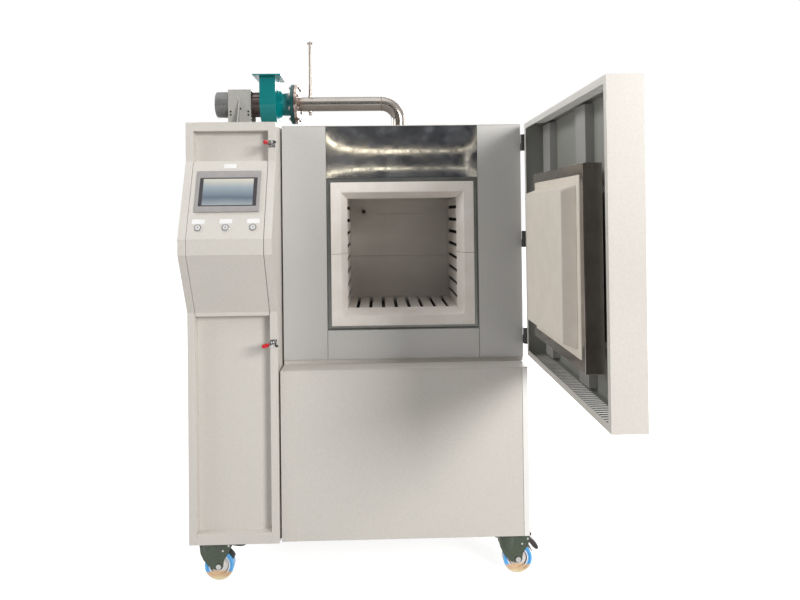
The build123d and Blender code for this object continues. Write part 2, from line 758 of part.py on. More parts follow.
def make_exhaust():
    start = flange_face_x
    seat_z = chamber_z + chamber_half + board_thickness
    pipe = pipe_solid(pipe_radius, start, seat_z)
    pipe += rod_x(start, start + flange_thickness, flue_y, pipe_z, flange_radius)
    boss = pipe_radius + 3
    for z0, z1 in ((pipe_z + boss - 6, pipe_z + boss), (pipe_z - boss, pipe_z - boss + 6)):
        pipe += rod_z(damper_x, flue_y, z0, z1, 9)
    pipe -= pipe_solid(pipe_radius - pipe_wall, start - 1, seat_z - 1)
    pipe -= rod_z(damper_x, flue_y, pipe_z - 60, pipe_z + 60, damper_rod_radius + running_gap)
    pipe = pipe - flange_bolt_holes(start - 5, start + flange_thickness + 5)
    save("exhaust_pipe", pipe)

    gasket_x = start - gasket_thickness
    gasket = rod_x(gasket_x, start, flue_y, pipe_z, flange_radius - 1)
    gasket -= rod_x(gasket_x - 1, start + 1, flue_y, pipe_z, pipe_radius - pipe_wall)
    gasket = gasket - flange_bolt_holes(gasket_x - 5, start + 5)
    save("flange_gasket", gasket)

    head_x = start + flange_thickness
    nut_x = gasket_x - flange_thickness
    bolts = []
    for hole in flange_bolt_holes(0, 1):
        centre = hole.center()
        bolt = rod_x(nut_x - 9, head_x + 1, centre.Y, centre.Z, 4)
        for x in (nut_x - 7, head_x):
            bolt += extrude(Plane.YZ.offset(x) * Pos(centre.Y, centre.Z) * RegularPolygon(7.5, 6), amount=7)
        bolts.append(bolt)
    save("flange_bolts", *bolts)

    rod = rod_z(damper_x, flue_y, pipe_z - 44, damper_top, damper_rod_radius)
    rod += rod_y(damper_x, flue_y - 1, flue_y + 1, pipe_z, pipe_radius - pipe_wall - 0.7)
    rod += rod_x(damper_x - 10, damper_x + 12, flue_y, damper_top - 6, 4)
    rod += rod_z(damper_x, flue_y, pipe_z + boss + 0.3, pipe_z + boss + 4, 8)
    save("damper", rod)


# Centrifugal blower
def scroll_face(inset):
    """The volute's (y, z) outline with its upright outlet, moved in by the inset."""
    centre = (flue_y, pipe_z)

    def polar(shrink, degrees):
        reach = volute_radius - shrink - inset
        return (centre[0] + reach * cos(radians(degrees)), centre[1] + reach * sin(radians(degrees)))

    front = centre[0] - volute_radius + inset
    rear = centre[0] - volute_radius + outlet_depth - inset
    top = outlet_z + (inset if inset else 0)
    tongue = polar(18, 70)
    lines = [
        Line((front, top), polar(0, 180)),
        ThreePointArc(polar(0, 180), polar(2.5, 225), polar(5, 270)),
        ThreePointArc(polar(5, 270), polar(8, 315), polar(12, 360)),
        ThreePointArc(polar(12, 360), polar(15, 395), tongue),
        Line(tongue, (rear, outlet_z - 10)),
        Line((rear, outlet_z - 10), (rear, top)),
        Line((rear, top), (front, top)),
    ]
    return make_face(lines)


def make_blower():
    x0, x1 = volute_x
    inlet_x = flange_face_x - gasket_thickness
    cone_length = 19.0
    inlet_radius = 45.5
    neck = inlet_x - flange_thickness

    shell = extrude(Plane.YZ.offset(x0) * scroll_face(0), amount=x1 - x0)
    shell += Pos(x1 + cone_length / 2, flue_y, pipe_z) * Rot(0, 90, 0) * Cone(88, 52, cone_length)
    shell += rod_x(x1, neck, flue_y, pipe_z, inlet_radius)
    shell += rod_x(neck, inlet_x, flue_y, pipe_z, flange_radius)
    outlet_x = (x0 + x1) / 2
    outlet_y = flue_y - volute_radius + outlet_depth / 2
    wide, deep = outlet_flange
    shell += Pos(outlet_x, outlet_y, outlet_z - 2) * Box(wide, deep, 4)
    hollow = Plane.YZ.offset(x0 + volute_sheet) * scroll_face(volute_sheet)
    shell -= extrude(hollow, amount=x1 - x0 - 2 * volute_sheet)
    cone_x = x1 + cone_length / 2 - volute_sheet
    shell -= Pos(cone_x, flue_y, pipe_z) * Rot(0, 90, 0) * Cone(84, 48, cone_length)
    shell -= rod_x(x1 - 5, neck - 6, flue_y, pipe_z, inlet_radius - volute_sheet)
    shell -= rod_x(neck - 10, inlet_x + 1, flue_y, pipe_z, pipe_radius - pipe_wall)
    shell -= rod_x(x0 - 1, x0 + 5, flue_y, pipe_z, 24)
    shell = shell - flange_bolt_holes(neck - 5, inlet_x + 5)
    for dx in (-wide / 2 + 11, wide / 2 - 11):
        for dy in (-deep / 2 + 11, deep / 2 - 11):
            shell -= rod_z(outlet_x + dx, outlet_y + dy, outlet_z - 6, outlet_z + 2, 4.5)
    save("blower_volute", shell)

    rotor = rod_x(motor_tail + 6, x1 - 18, flue_y, pipe_z, shaft_radius)
    rotor += rod_x(motor_tail + 12, motor_tail + 20, flue_y, pipe_z, 40)
    rotor += rod_x(-655, -605, flue_y, pipe_z, 30)
    rotor += rod_x(x0 + 7, x0 + 10, flue_y, pipe_z, impeller_radius)
    rotor += rod_x(x0 + 10, x0 + 34, flue_y, pipe_z, 18)
    blade = block(x0 + 10, x0 + 40, 17, impeller_radius, -1.5, 1.5)
    for i in range(blade_count):
        rotor += Pos(0, flue_y, pipe_z) * Rot(i * 360 / blade_count, 0, 0) * blade
    save("blower_rotor", rotor)


def make_motor():
    flange_x = volute_x[0]
    frame = rod_x(motor_rear, motor_front, flue_y, pipe_z, motor_radius)
    frame -= rod_x(motor_rear + 6, motor_front + 1, flue_y, pipe_z, 44)
    frame -= rod_x(motor_rear - 1, motor_front, flue_y, pipe_z, shaft_radius + running_gap)
    bell = rod_x(motor_front, flange_x - 8, flue_y, pipe_z, 46)
    bell += rod_x(flange_x - 8, flange_x, flue_y, pipe_z, 52)
    for i in range(12):
        rib = block(motor_front, flange_x - 8, 44, 50, -2, 2)
        bell += Pos(0, flue_y, pipe_z) * Rot(i * 360 / 12, 0, 0) * rib
    bell -= rod_x(motor_front + 6, flange_x - 6, flue_y, pipe_z, 38)
    bell -= rod_x(motor_front - 1, flange_x + 1, flue_y, pipe_z, shaft_radius + running_gap)
    stator = rod_x(-652, -608, flue_y, pipe_z, 43.9) - rod_x(-653, -607, flue_y, pipe_z, 31)
    save("motor_housing", frame, bell, stator)

    cover = rod_x(motor_tail, motor_rear, flue_y, pipe_z, motor_radius + 2.5)
    cover = fillet(cover.edges().filter_by(GeomType.CIRCLE).sort_by(Axis.X)[0], 6)
    cover -= rod_x(motor_tail + 3, motor_rear + 1, flue_y, pipe_z, motor_radius)
    for ring in (18, 27, 36):
        for i in range(8):
            slot = block(motor_tail - 5, motor_tail + 5, ring - 2, ring + 2, -ring * 0.25, ring * 0.25)
            cover -= Pos(0, flue_y, pipe_z) * Rot(i * 45, 0, 0) * slot
    save("motor_fan_cover", cover)

    x0, x1 = motor_rear, motor_front
    top = pipe_z + motor_radius
    near, far = flue_y - motor_radius - 4.5, flue_y + motor_radius + 4.5
    bracket = block(x0, x1, near - 60, far + 20, column_top, column_top + 4)
    bracket += block(x0, x1, near, near + 4, column_top, top)
    bracket += block(x0, x1, far - 4, far, column_top, top)
    bracket += block(x0, x1, near, far, top, top + 3)
    middle = (x0 + x1) / 2
    rib = [(near, column_top + 4), (near - 58, column_top + 4), (near, top - 30)]
    bracket += prism_x(rib, middle - 2, middle + 2)
    for x in (x0 + 12, x1 - 12):
        bracket += rod_y(x, near - 7, near, column_top + 34, 6)
        for y in (near - 48, far + 10):
            bracket += rod_z(x, y, column_top + 4, column_top + 10, 6)
    save("motor_bracket", bracket)


# Casters
def fork_outline(x):
    """The fork's (x, z) side outline, wide at the top and round at the axle."""
    axle = x + caster_trail
    top = base_z - 10
    return [
        (x - race_radius, top), (x + 73, top), (x + 76, top - 8), (x + 75, 113), (x + 69, 96),
        (axle + 18, 71), (axle + 15.5, 58), (axle + 15, 48), (axle + 10, 40), (axle, 37),
        (axle - 12, 39), (axle - 25, 44), (axle - 35, 53), (axle - 53, 73), (axle - 63, 96),
    ]


def make_fork(name, x, y, braked):
    """Pressed steel fork: two legs that flare out into the round seat of the ball race."""
    inner, outer = wheel_width / 2 + 3, wheel_width / 2 + 6
    axle_x = x + caster_trail
    seat_top = base_z - 8.3
    flare_low, flare_high = 68.0, base_z - 12
    wall = outer - inner
    flare = Pos(x, y, (flare_low + flare_high) / 2) * (
        Cone(outer, race_radius + 1, flare_high - flare_low)
        - Cone(outer - wall, race_radius + 1 - wall, flare_high - flare_low)
    )
    flare -= block(x, x + 90, y - inner, y + inner, flare_low - 1, flare_high + 1)
    flare -= rod_y(axle_x, y - inner, y + inner, wheel_radius, wheel_radius + 3)
    sheet_body = flare + block(x - 40, x + 90, y - outer, y - inner, 0, seat_top)
    sheet_body += block(x - 40, x + 90, y + inner, y + outer, 0, seat_top)
    fork = sheet_body & prism_y(fork_outline(x), y - 50, y + 50)
    fork += block(x - 22, x + 34, y - outer, y + outer, base_z - 22, base_z - 16)
    fork += rod_z(x, y, base_z - 16, seat_top, race_radius)
    fork -= rod_z(x, y, base_z - 40, base_z, axle_radius + running_gap)
    fork += rod_y(axle_x, y - outer - 4, y + outer + 4, wheel_radius, axle_radius)
    for side in (-1, 1):
        fork += rod_y(axle_x, *sorted((y + side * outer, y + side * (outer + 5))), wheel_radius, 9)
    if braked:
        fork += rod_y(x + pedal_pivot[0], y - outer - 2, y + outer + 2, pedal_pivot[1], 3.5)
        pin_x, pin_z = x + shoe_pin[0], shoe_pin[1]
        low, high = shoe_radius
        shoe = rod_y(axle_x, y - 14, y + 14, wheel_radius, high)
        shoe -= rod_y(axle_x, y - 15, y + 15, wheel_radius, low)
        shoe &= prism_y(
            [(axle_x, wheel_radius), (axle_x + 80, wheel_radius + 36), (axle_x + 80, 200), (pin_x, 200)],
            y - 20, y + 20,
        )
        fork += shoe + rod_y(pin_x, y - outer - 2, y + outer + 2, pin_z, 3.5)
    save(f"{name}_fork", fork)


def make_wheel(name, x, y):
    """Wheel with a dished hub and a moulded tread."""
    hub = rod_y(x, y - 14, y + 14, wheel_radius, hub_radius)
    hub += rod_y(x, y - wheel_width / 2 - 2, y + wheel_width / 2 + 2, wheel_radius, 14)
    for side in (-1, 1):
        dish = rod_y(x, *sorted((y + side * 9, y + side * 20)), wheel_radius, 32)
        dish -= rod_y(x, y - 30, y + 30, wheel_radius, 17)
        hub -= dish
    hub -= rod_y(x, y - 30, y + 30, wheel_radius, axle_radius + running_gap)
    tread = rod_y(x, y - wheel_width / 2, y + wheel_width / 2, wheel_radius, wheel_radius)
    tread -= rod_y(x, y - 30, y + 30, wheel_radius, hub_radius)
    save(f"{name}_wheel", hub, tread)


def make_pedal(name, x, y, z):
    """Moulded rocker with a long lobe that locks the caster and a short one that frees it."""
    sleeve, half = wheel_width / 2 + 2, pedal_width / 2
    outline = [(along, -across) for along, across in pedal_leaf] + list(reversed(pedal_leaf))
    leaf = extrude(make_face(Polyline(*outline, close=True)), amount=pedal_width)
    long_lobe = Pos(0, half, 0) * Rot(90, 0, 0) * leaf
    short_lobe = block(0, 14, -half, half, -5.5, 5.5) + rod_y(14, -half, half, 0, 5.5)
    rocker = rod_y(0, -sleeve, sleeve, 0, 7) + Rot(0, 48.8, 0) * long_lobe + Rot(0, -38, 0) * short_lobe
    rocker -= rod_y(0, -sleeve - 1, sleeve + 1, 0, 3.55)
    save(f"{name}_pedal", Pos(x, y, z) * Rot(0, -pedal_rest[name], 0) * rocker)


def make_casters():
    for name, x, y, braked in caster_places():
        make_fork(name, x, y, braked)
        make_wheel(name, x + caster_trail, y)
        if braked:
            make_pedal(name, x + pedal_pivot[0], y, pedal_pivot[1])


make_base_frame()
make_lower_cabinet()
make_casing()
make_front()
make_mouth_boards()
make_chamber_boards()
make_insulation()
make_elements()
make_column()
make_console()
make_screen()
make_buttons()
make_electrics()
make_clamps()
make_door()
make_hinges()
make_exhaust()
make_blower()
make_motor()
make_casters()
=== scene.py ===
"""Box furnace on casters: finishes, detailed pieces, studio and camera.

Metres, Z up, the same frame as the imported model. The front of the furnace looks along -Y.
"""

import json
from math import cos, radians, sin

import bmesh
import bpy
from mathutils import Matrix, Vector


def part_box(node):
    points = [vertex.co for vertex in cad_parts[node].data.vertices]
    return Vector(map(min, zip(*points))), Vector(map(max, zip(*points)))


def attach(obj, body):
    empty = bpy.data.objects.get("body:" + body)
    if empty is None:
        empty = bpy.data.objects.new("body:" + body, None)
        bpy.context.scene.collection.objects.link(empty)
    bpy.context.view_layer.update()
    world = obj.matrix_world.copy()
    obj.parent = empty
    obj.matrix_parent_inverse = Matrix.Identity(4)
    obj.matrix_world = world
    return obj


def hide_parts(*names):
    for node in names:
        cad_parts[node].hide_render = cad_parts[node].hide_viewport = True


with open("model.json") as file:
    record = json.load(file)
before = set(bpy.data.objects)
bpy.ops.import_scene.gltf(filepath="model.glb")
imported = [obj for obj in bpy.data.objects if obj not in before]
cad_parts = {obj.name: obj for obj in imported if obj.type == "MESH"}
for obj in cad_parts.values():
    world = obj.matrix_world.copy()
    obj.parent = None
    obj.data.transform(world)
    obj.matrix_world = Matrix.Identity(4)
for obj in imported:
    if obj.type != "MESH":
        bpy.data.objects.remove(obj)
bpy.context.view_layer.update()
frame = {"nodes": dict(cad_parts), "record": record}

# Camera, fitted to the straight edges of the photograph
CAMERA_PLACE = (0.0250, -2.2487, 1.2662)
CAMERA_YAW = 1.41
CAMERA_PITCH = 0.63
CAMERA_ROLL = -0.69
LENS_MM = 29.626
SENSOR_MM = 36.0
LENS_SHIFT = (0.0059, -0.1184)

# Finishing: width of the rounded edges, and the bend from which an edge counts as sharp
SHEET_ROUND = 0.0008
BOARD_ROUND = 0.0022
CASTING_ROUND = 0.0005
LABEL_ROUND = 0.0003
BEZEL_ROUND = 0.0032
RING_ROUND = 0.0010
CAP_ROUND = 0.0008
FORK_ROUND = 0.0006
WHEEL_ROUND = 0.0025
PEDAL_ROUND = 0.0012
SHEET_BEND = 14.0
CASTING_BEND = 30.0

# Chamber and the heating wire wound on its rods
CHAMBER_HALF = 0.200
SLOT_COUNT = 8
SLOT_PITCH = 0.0475
SLOT_SHADE = (0.002, 0.010)
ROD_DEPTH = 0.220
ROD_RADIUS = 0.0040
WIRE_RADIUS = 0.0007
TURN_PITCH = 0.0072
WIRE_FRONT_INSET = 0.012
WIRE_BACK_INSET = 0.006

# The polished head panel: its grid, how far it stands back, its sheet, its bulge and how its ends hold it
PANEL_GRID = (96, 40)
PANEL_INSET = 0.0006
PANEL_SHEET = 0.0012
PANEL_LEAN, PANEL_CURVE = 0.0140, 0.0159
PANEL_HOLD_LEFT, PANEL_HOLD_RIGHT = 3.2, 9.0

# Faces inside a piece's box: side plate of the blower (x), plate of the motor bracket (y), console slope
VOLUTE_SIDE_X = -0.3725
BRACKET_FACE_Y = 0.3605
SLOPE_LEAN, SLOPE_RISE = 0.3677, 0.9299

# Screws: sides of a head, places on the terminal cover and the motor bracket
SCREW_SIDES = 14
COVER_SCREW_SHARES = (0.06, 0.28, 0.5, 0.72, 0.94)
BRACKET_BOLT_INSET = 0.010
BRACKET_BOLT_DROPS = (0.087, 0.100)
BRACKET_PIN = (0.54, 0.076)

# Casters, from the swivel axis and the floor: rivets and shoe of a fork as (from x, to x, from z, to z)
FORK_OUTER = 0.022
FORK_REACH = 0.03
RIVETS = ((0.02, 0.05, 0.03, 0.062), (0.040, 0.08, 0.098, 0.135))
SHOE = (0.046, 0.1, 0.05, 0.115)
SHOE_HALF = 0.0145

# Wheels: rings as (radius, colour), the hub, and the heights between which the lower part of the wheel
# turns amber and tan
WHEEL_RINGS = ((0.0365, (0.86, 0.88, 0.90, 1)), (0.0325, (0.16, 0.13, 0.14, 1)))
HUB_RADIUS = 0.0300
LOW_AMBER_HEIGHTS = (0.029, 0.034)
LOW_TAN_HEIGHTS = (0.012, 0.018)

CORNERS = ("front_left", "front_right", "rear_left", "rear_right")

# Painted zones: lengths from an end or an axis of the piece that they are on
FAR = Vector((1.0, 1.0, 1.0))
DOOR_SHEET = 0.0012
STRIP_DEPTH = 0.004
CLAMP_TIP = 0.0107
GRIP_START = 0.0178
BUTTON_MARK = 0.0019
INLET_RIM = 0.0125
PIPE_FLANGE = 0.0122
PIPE_BEND = 0.0985
# Painted reflection on the exhaust pipe: reach of its dark band above and its pale band below the middle
PIPE_DARK_REFLECTION_RISE, PIPE_PALE_REFLECTION_DROP = 0.026, 0.018
WELD_WIDTH = 0.003
END_BELL = 0.0425
SCREEN_SIDE = 0.0125
SCREEN_TONES = (
    (0.06, (0.34, 0.38, 0.40, 1)), (0.34, (0.105, 0.145, 0.195, 1)), (0.72, (0.30, 0.36, 0.40, 1)),
    (0.98, (0.60, 0.58, 0.51, 1)),
)


# Node helpers
def wire(tree, kind, sockets=None, **settings):
    """A shader node with its settings, and its sockets set to values or joined to other sockets."""
    made = tree.nodes.new(kind)
    for name, value in settings.items():
        setattr(made, name, value)
    for socket, value in (sockets or {}).items():
        target = made.inputs[socket]
        if isinstance(value, bpy.types.NodeSocket):
            tree.links.new(value, target)
        else:
            target.default_value = value
    return made


def object_place(tree):
    """Where a point is on its piece."""
    return tree.nodes.new("ShaderNodeTexCoord").outputs["Object"]


def parts_of(tree, vector):
    """The x, y and z of a vector."""
    return wire(tree, "ShaderNodeSeparateXYZ", {0: vector}).outputs


def calculate(tree, operation, *values):
    """The result of a Math node."""
    return wire(tree, "ShaderNodeMath", dict(enumerate(values)), operation=operation).outputs[0]


def calculate_vector(tree, operation, *values):
    """The result of a Vector Math node: a number for LENGTH, otherwise a vector."""
    made = wire(tree, "ShaderNodeVectorMath", dict(enumerate(values)), operation=operation)
    return made.outputs["Value" if operation == "LENGTH" else "Vector"]


def distance(tree, value, middle):
    """How far a value is from a middle value."""
    return calculate(tree, "ABSOLUTE", calculate(tree, "SUBTRACT", value, middle))


def noise(tree, place, scale, detail, **sockets):
    """The value of a noise texture."""
    sockets.update(Vector=place, Scale=scale, Detail=detail)
    return wire(tree, "ShaderNodeTexNoise", sockets).outputs[0]


def blend_colors(tree, mask, first, second, mode="MIX"):
    """The mixed colour of two colours or sockets, second where the mask is 1."""
    mixer = wire(tree, "ShaderNodeMix", data_type="RGBA", blend_type=mode)
    for index, value in ((0, mask), (6, first), (7, second)):
        if isinstance(value, bpy.types.NodeSocket):
            tree.links.new(value, mixer.inputs[index])
        else:
            mixer.inputs[index].default_value = value
    return mixer.outputs[2]


def remap(tree, value, low, high, to_low=0.0, to_high=1.0):
    """A value moved from one range to another, held at its ends."""
    sockets = {"Value": value, "From Min": low, "From Max": high, "To Min": to_low, "To Max": to_high}
    return wire(tree, "ShaderNodeMapRange", sockets, clamp=True).outputs[0]


def new_effect(name, inputs, outputs):
    """An empty shader node group with named inputs and outputs: its tree, input node and output node."""
    tree = bpy.data.node_groups.new(name, "ShaderNodeTree")
    for label, default in inputs.items():
        kind = "NodeSocketFloat" if isinstance(default, float) else "NodeSocketVector"
        socket = tree.interface.new_socket(label, in_out="INPUT", socket_type=kind)
        socket.default_value = default
    for label in outputs:
        tree.interface.new_socket(label, in_out="OUTPUT", socket_type="NodeSocketFloat")
    return tree, tree.nodes.new("NodeGroupInput"), tree.nodes.new("NodeGroupOutput")


def give(tree, result, **values):
    """Join an effect's values to its outputs. Returns the effect's tree."""
    for label, value in values.items():
        tree.links.new(value, result.inputs[label])
    return tree


def make_powder_effect():
    """The orange peel of powder paint, with a slow cloudiness."""
    tree, given, result = new_effect(
        "Powder texture", {"Peel Scale": 700.0, "Cloud Scale": 2.5}, ("Height", "Clouds", "Speckle")
    )
    place = object_place(tree)
    peel = noise(tree, place, given.outputs["Peel Scale"], 1.0, Roughness=0.4)
    clouds = noise(tree, place, given.outputs["Cloud Scale"], 3.0, Roughness=0.6)
    speckle = noise(tree, place, 160.0, 2.0)
    return give(tree, result, Height=peel, Clouds=remap(tree, clouds, 0.3, 0.7),
                Speckle=remap(tree, speckle, 0.35, 0.65))


def make_brushed_effect():
    """Fine parallel scratches, drawn out along the direction with the small stretch."""
    tree, given, result = new_effect(
        "Brushed metal", {"Stretch": (900.0, 900.0, 12.0), "Smudge Scale": 9.0},
        ("Height", "Smudge", "Lines"),
    )
    place = object_place(tree)
    stretched = calculate_vector(tree, "MULTIPLY", place, given.outputs["Stretch"])
    lines = noise(tree, stretched, 1.0, 3.0, Roughness=0.7)
    smudge = noise(tree, place, given.outputs["Smudge Scale"], 5.0, Roughness=0.65)
    return give(tree, result, Height=lines, Smudge=remap(tree, smudge, 0.3, 0.7),
                Lines=remap(tree, lines, 0.3, 0.7))


def make_fibre_effect():
    """Pressed ceramic fibre: soft lumps, short fibres and small pits."""
    tree, given, result = new_effect(
        "Pressed fibre", {"Fibre Scale": 240.0, "Pit Scale": 90.0}, ("Height", "Tone", "Pits")
    )
    place = object_place(tree)
    fibres = noise(tree, place, given.outputs["Fibre Scale"], 6.0, Roughness=0.7, Distortion=1.2)
    lumps = noise(tree, place, 14.0, 4.0, Roughness=0.6)
    pits = wire(tree, "ShaderNodeTexVoronoi", {"Vector": place, "Scale": given.outputs["Pit Scale"]})
    pit_mask = remap(tree, pits.outputs["Distance"], 0.03, 0.10, 1.0, 0.0)
    height = calculate(tree, "SUBTRACT", fibres, pit_mask)
    return give(tree, result, Height=height, Tone=remap(tree, lumps, 0.3, 0.7), Pits=pit_mask)


def make_box_zone():
    """1 inside a box, 0 outside it."""
    tree, given, result = new_effect(
        "Box zone", {"Centre": (0.0, 0.0, 0.0), "Half": (1.0, 1.0, 1.0), "Soft": 0.0003}, ("Mask",)
    )
    away = calculate_vector(tree, "SUBTRACT", object_place(tree), given.outputs["Centre"])
    away = calculate_vector(tree, "ABSOLUTE", away)
    sides = parts_of(tree, calculate_vector(tree, "SUBTRACT", away, given.outputs["Half"]))
    most = calculate(tree, "MAXIMUM", calculate(tree, "MAXIMUM", sides[0], sides[1]), sides[2])
    return give(tree, result, Mask=remap(tree, most, 0.0, given.outputs["Soft"], 1.0, 0.0))


def make_ring_zone():
    """1 near a straight axis through a point, 0 further away from it than the radius."""
    tree, given, result = new_effect(
        "Ring zone",
        {"Centre": (0.0, 0.0, 0.0), "Across": (1.0, 0.0, 1.0), "Radius": 0.01, "Soft": 0.0005},
        ("Mask",),
    )
    away = calculate_vector(tree, "SUBTRACT", object_place(tree), given.outputs["Centre"])
    away = calculate_vector(tree, "MULTIPLY", away, given.outputs["Across"])
    past = calculate(tree, "SUBTRACT", calculate_vector(tree, "LENGTH", away), given.outputs["Radius"])
    return give(tree, result, Mask=remap(tree, past, 0.0, given.outputs["Soft"], 1.0, 0.0))


EFFECTS = {
    "powder": make_powder_effect(),
    "brushed": make_brushed_effect(),
    "fibre": make_fibre_effect(),
    "box": make_box_zone(),
    "ring": make_ring_zone(),
}


def new_finish(name, **sockets):
    """A material with one Principled shader: the material, its tree and the shader node."""
    material = bpy.data.materials.new(name)
    material.use_nodes = True
    tree = material.node_tree
    shader = tree.nodes["Principled BSDF"]
    for socket, value in sockets.items():
        shader.inputs[socket.replace("_", " ")].default_value = value
    return material, tree, shader


def place_effect(tree, name, **values):
    """One of the shared effects in a material, with its own values."""
    group = wire(tree, "ShaderNodeGroup", node_tree=EFFECTS[name])
    for socket, value in values.items():
        group.inputs[socket.replace("_", " ")].default_value = value
    return group.outputs


def dent(tree, shader, height, strength, depth):
    """Feed a height to the shader's normal."""
    bump = wire(tree, "ShaderNodeBump", {"Height": height, "Strength": strength, "Distance": depth})
    tree.links.new(bump.outputs[0], shader.inputs["Normal"])


def in_box(tree, low, high, soft=0.0003):
    """A mask for the space between two corners."""
    low, high = Vector(low), Vector(high)
    return place_effect(tree, "box", Centre=(low + high) / 2, Half=(high - low) / 2, Soft=soft)["Mask"]


def in_slice(tree, box, axis, start=None, end=None):
    """A mask for a slice of a piece between two places on one axis. Without one, it runs to the end."""
    low, high = box[0] - FAR, box[1] + FAR
    if start is not None:
        low[axis] = start
    if end is not None:
        high[axis] = end
    return in_box(tree, low, high)


def near_axis(tree, centre, radius, across=(1.0, 0.0, 1.0), soft=0.0005):
    """A mask for the space round an axis. across is 0 along the axis and 1 across it."""
    return place_effect(tree, "ring", Centre=centre, Across=across, Radius=radius, Soft=soft)["Mask"]


def overlay(tree, shader, mask, color=None, metallic=None, roughness=None):
    """Inside a mask, give the shader another colour, metalness or roughness."""
    for name, value in (("Base Color", color), ("Metallic", metallic), ("Roughness", roughness)):
        if value is None:
            continue
        socket = shader.inputs[name]
        before = socket.links[0].from_socket if socket.is_linked else socket.default_value
        if name == "Base Color":
            after = blend_colors(tree, mask, before, value)
        else:
            values = {0: mask, 2: before, 3: value}
            after = wire(tree, "ShaderNodeMix", values, data_type="FLOAT").outputs[0]
        tree.links.new(after, socket)


def variant(slot, name):
    """A copy of a finish to add zones to: the material, its tree and its shader."""
    material = FINISHES[slot].copy()
    material.name = name
    return material, material.node_tree, material.node_tree.nodes["Principled BSDF"]


def tone(level, warm=0.0):
    """A grey of the given level, warmer for positive values."""
    return (level * (1 + warm), level, level * (1 - 1.6 * warm), 1.0)


# Finishes
def powder_paint(name, color, second, roughness, peel=0.25):
    """Textured powder paint on sheet metal."""
    material, tree, shader = new_finish(name)
    effect = place_effect(tree, "powder")
    speckled = blend_colors(tree, effect["Speckle"], color, second)
    clouded = blend_colors(tree, effect["Clouds"], second, color)
    tree.links.new(blend_colors(tree, 0.35, speckled, clouded), shader.inputs["Base Color"])
    rough = remap(tree, effect["Clouds"], 0.0, 1.0, roughness - 0.05, roughness + 0.05)
    tree.links.new(rough, shader.inputs["Roughness"])
    dent(tree, shader, effect["Height"], peel, 0.0004)
    return material


def scratched_metal(name, light, dark, roughness, stretch, bump=0.15, tint=None):
    """Brushed or rolled bare metal. tint is (axis, from, to, colour): a heat tint along one axis."""
    material, tree, shader = new_finish(name, Metallic=1.0)
    effect = place_effect(tree, "brushed", Stretch=stretch)
    color = blend_colors(tree, effect["Smudge"], light, dark)
    color = blend_colors(tree, effect["Lines"], color, tone(0.86), "MULTIPLY")
    if tint:
        axis, start, end, tint_color = tint
        mask = remap(tree, parts_of(tree, object_place(tree))[axis], start, end, 0.85, 0.0)
        color = blend_colors(tree, mask, color, tint_color)
    tree.links.new(color, shader.inputs["Base Color"])
    rough = remap(tree, effect["Lines"], 0.0, 1.0, roughness * 0.8, roughness * 1.25)
    tree.links.new(rough, shader.inputs["Roughness"])
    dent(tree, shader, effect["Height"], bump, 0.0002)
    return material


def fibre_board(name, light, dark):
    """White pressed ceramic fibre board."""
    material, tree, shader = new_finish(name, Roughness=0.95, Specular_IOR_Level=0.2)
    effect = place_effect(tree, "fibre")
    stretched = calculate_vector(tree, "MULTIPLY", object_place(tree), (6.0, 60.0, 6.0))
    marks = noise(tree, stretched, 4.0, 2.0)
    color = blend_colors(tree, effect["Tone"], light, dark)
    color = blend_colors(tree, remap(tree, marks, 0.45, 0.75, 0.0, 0.5), color, dark)
    pitted = tuple(0.55 * c for c in dark[:3]) + (1.0,)
    color = blend_colors(tree, remap(tree, effect["Pits"], 0.0, 1.0, 0.0, 0.35), color, pitted)
    tree.links.new(color, shader.inputs["Base Color"])
    dent(tree, shader, effect["Height"], 0.35, 0.0012)
    return material


def moulded(name, color, second, roughness, grain=420.0, bump=0.15):
    """Moulded plastic or rubber with a fine grain."""
    material, tree, shader = new_finish(name)
    effect = place_effect(tree, "powder", Peel_Scale=grain, Cloud_Scale=40.0)
    tree.links.new(blend_colors(tree, effect["Clouds"], color, second), shader.inputs["Base Color"])
    rough = remap(tree, effect["Speckle"], 0.0, 1.0, roughness * 0.85, roughness * 1.15)
    tree.links.new(rough, shader.inputs["Roughness"])
    dent(tree, shader, effect["Height"], bump, 0.0003)
    return material


def screen_surface():
    """The operator screen: a black frame, and a picture area that goes from pale cream to grey blue."""
    material, tree, shader = new_finish(
        "Operator screen", Roughness=0.12, Coat_Weight=0.3, Coat_Roughness=0.03)
    low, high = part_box("screen_glass")
    place = object_place(tree)
    parts = parts_of(tree, place)
    rise = remap(tree, parts[2], low.z, high.z)
    bent = calculate(tree, "MULTIPLY_ADD", noise(tree, place, 14.0, 2.0), 0.10, rise)
    ramp = wire(tree, "ShaderNodeValToRGB", {0: bent})
    stops = ramp.color_ramp.elements
    for index, (at, color) in enumerate(SCREEN_TONES):
        stop = stops[index] if index < 2 else stops.new(at)
        stop.position = at
        stop.color = color
    inner = (high.x - low.x) / 2 - SCREEN_SIDE
    sides = remap(tree, distance(tree, parts[0], (low.x + high.x) / 2), inner, inner + 0.001)
    ends = remap(tree, distance(tree, rise, 0.5), 0.455, 0.465)
    edge = calculate(tree, "MAXIMUM", sides, ends)
    color = blend_colors(tree, edge, ramp.outputs[0], (0.035, 0.030, 0.036, 1))
    tree.links.new(color, shader.inputs["Base Color"])
    return material


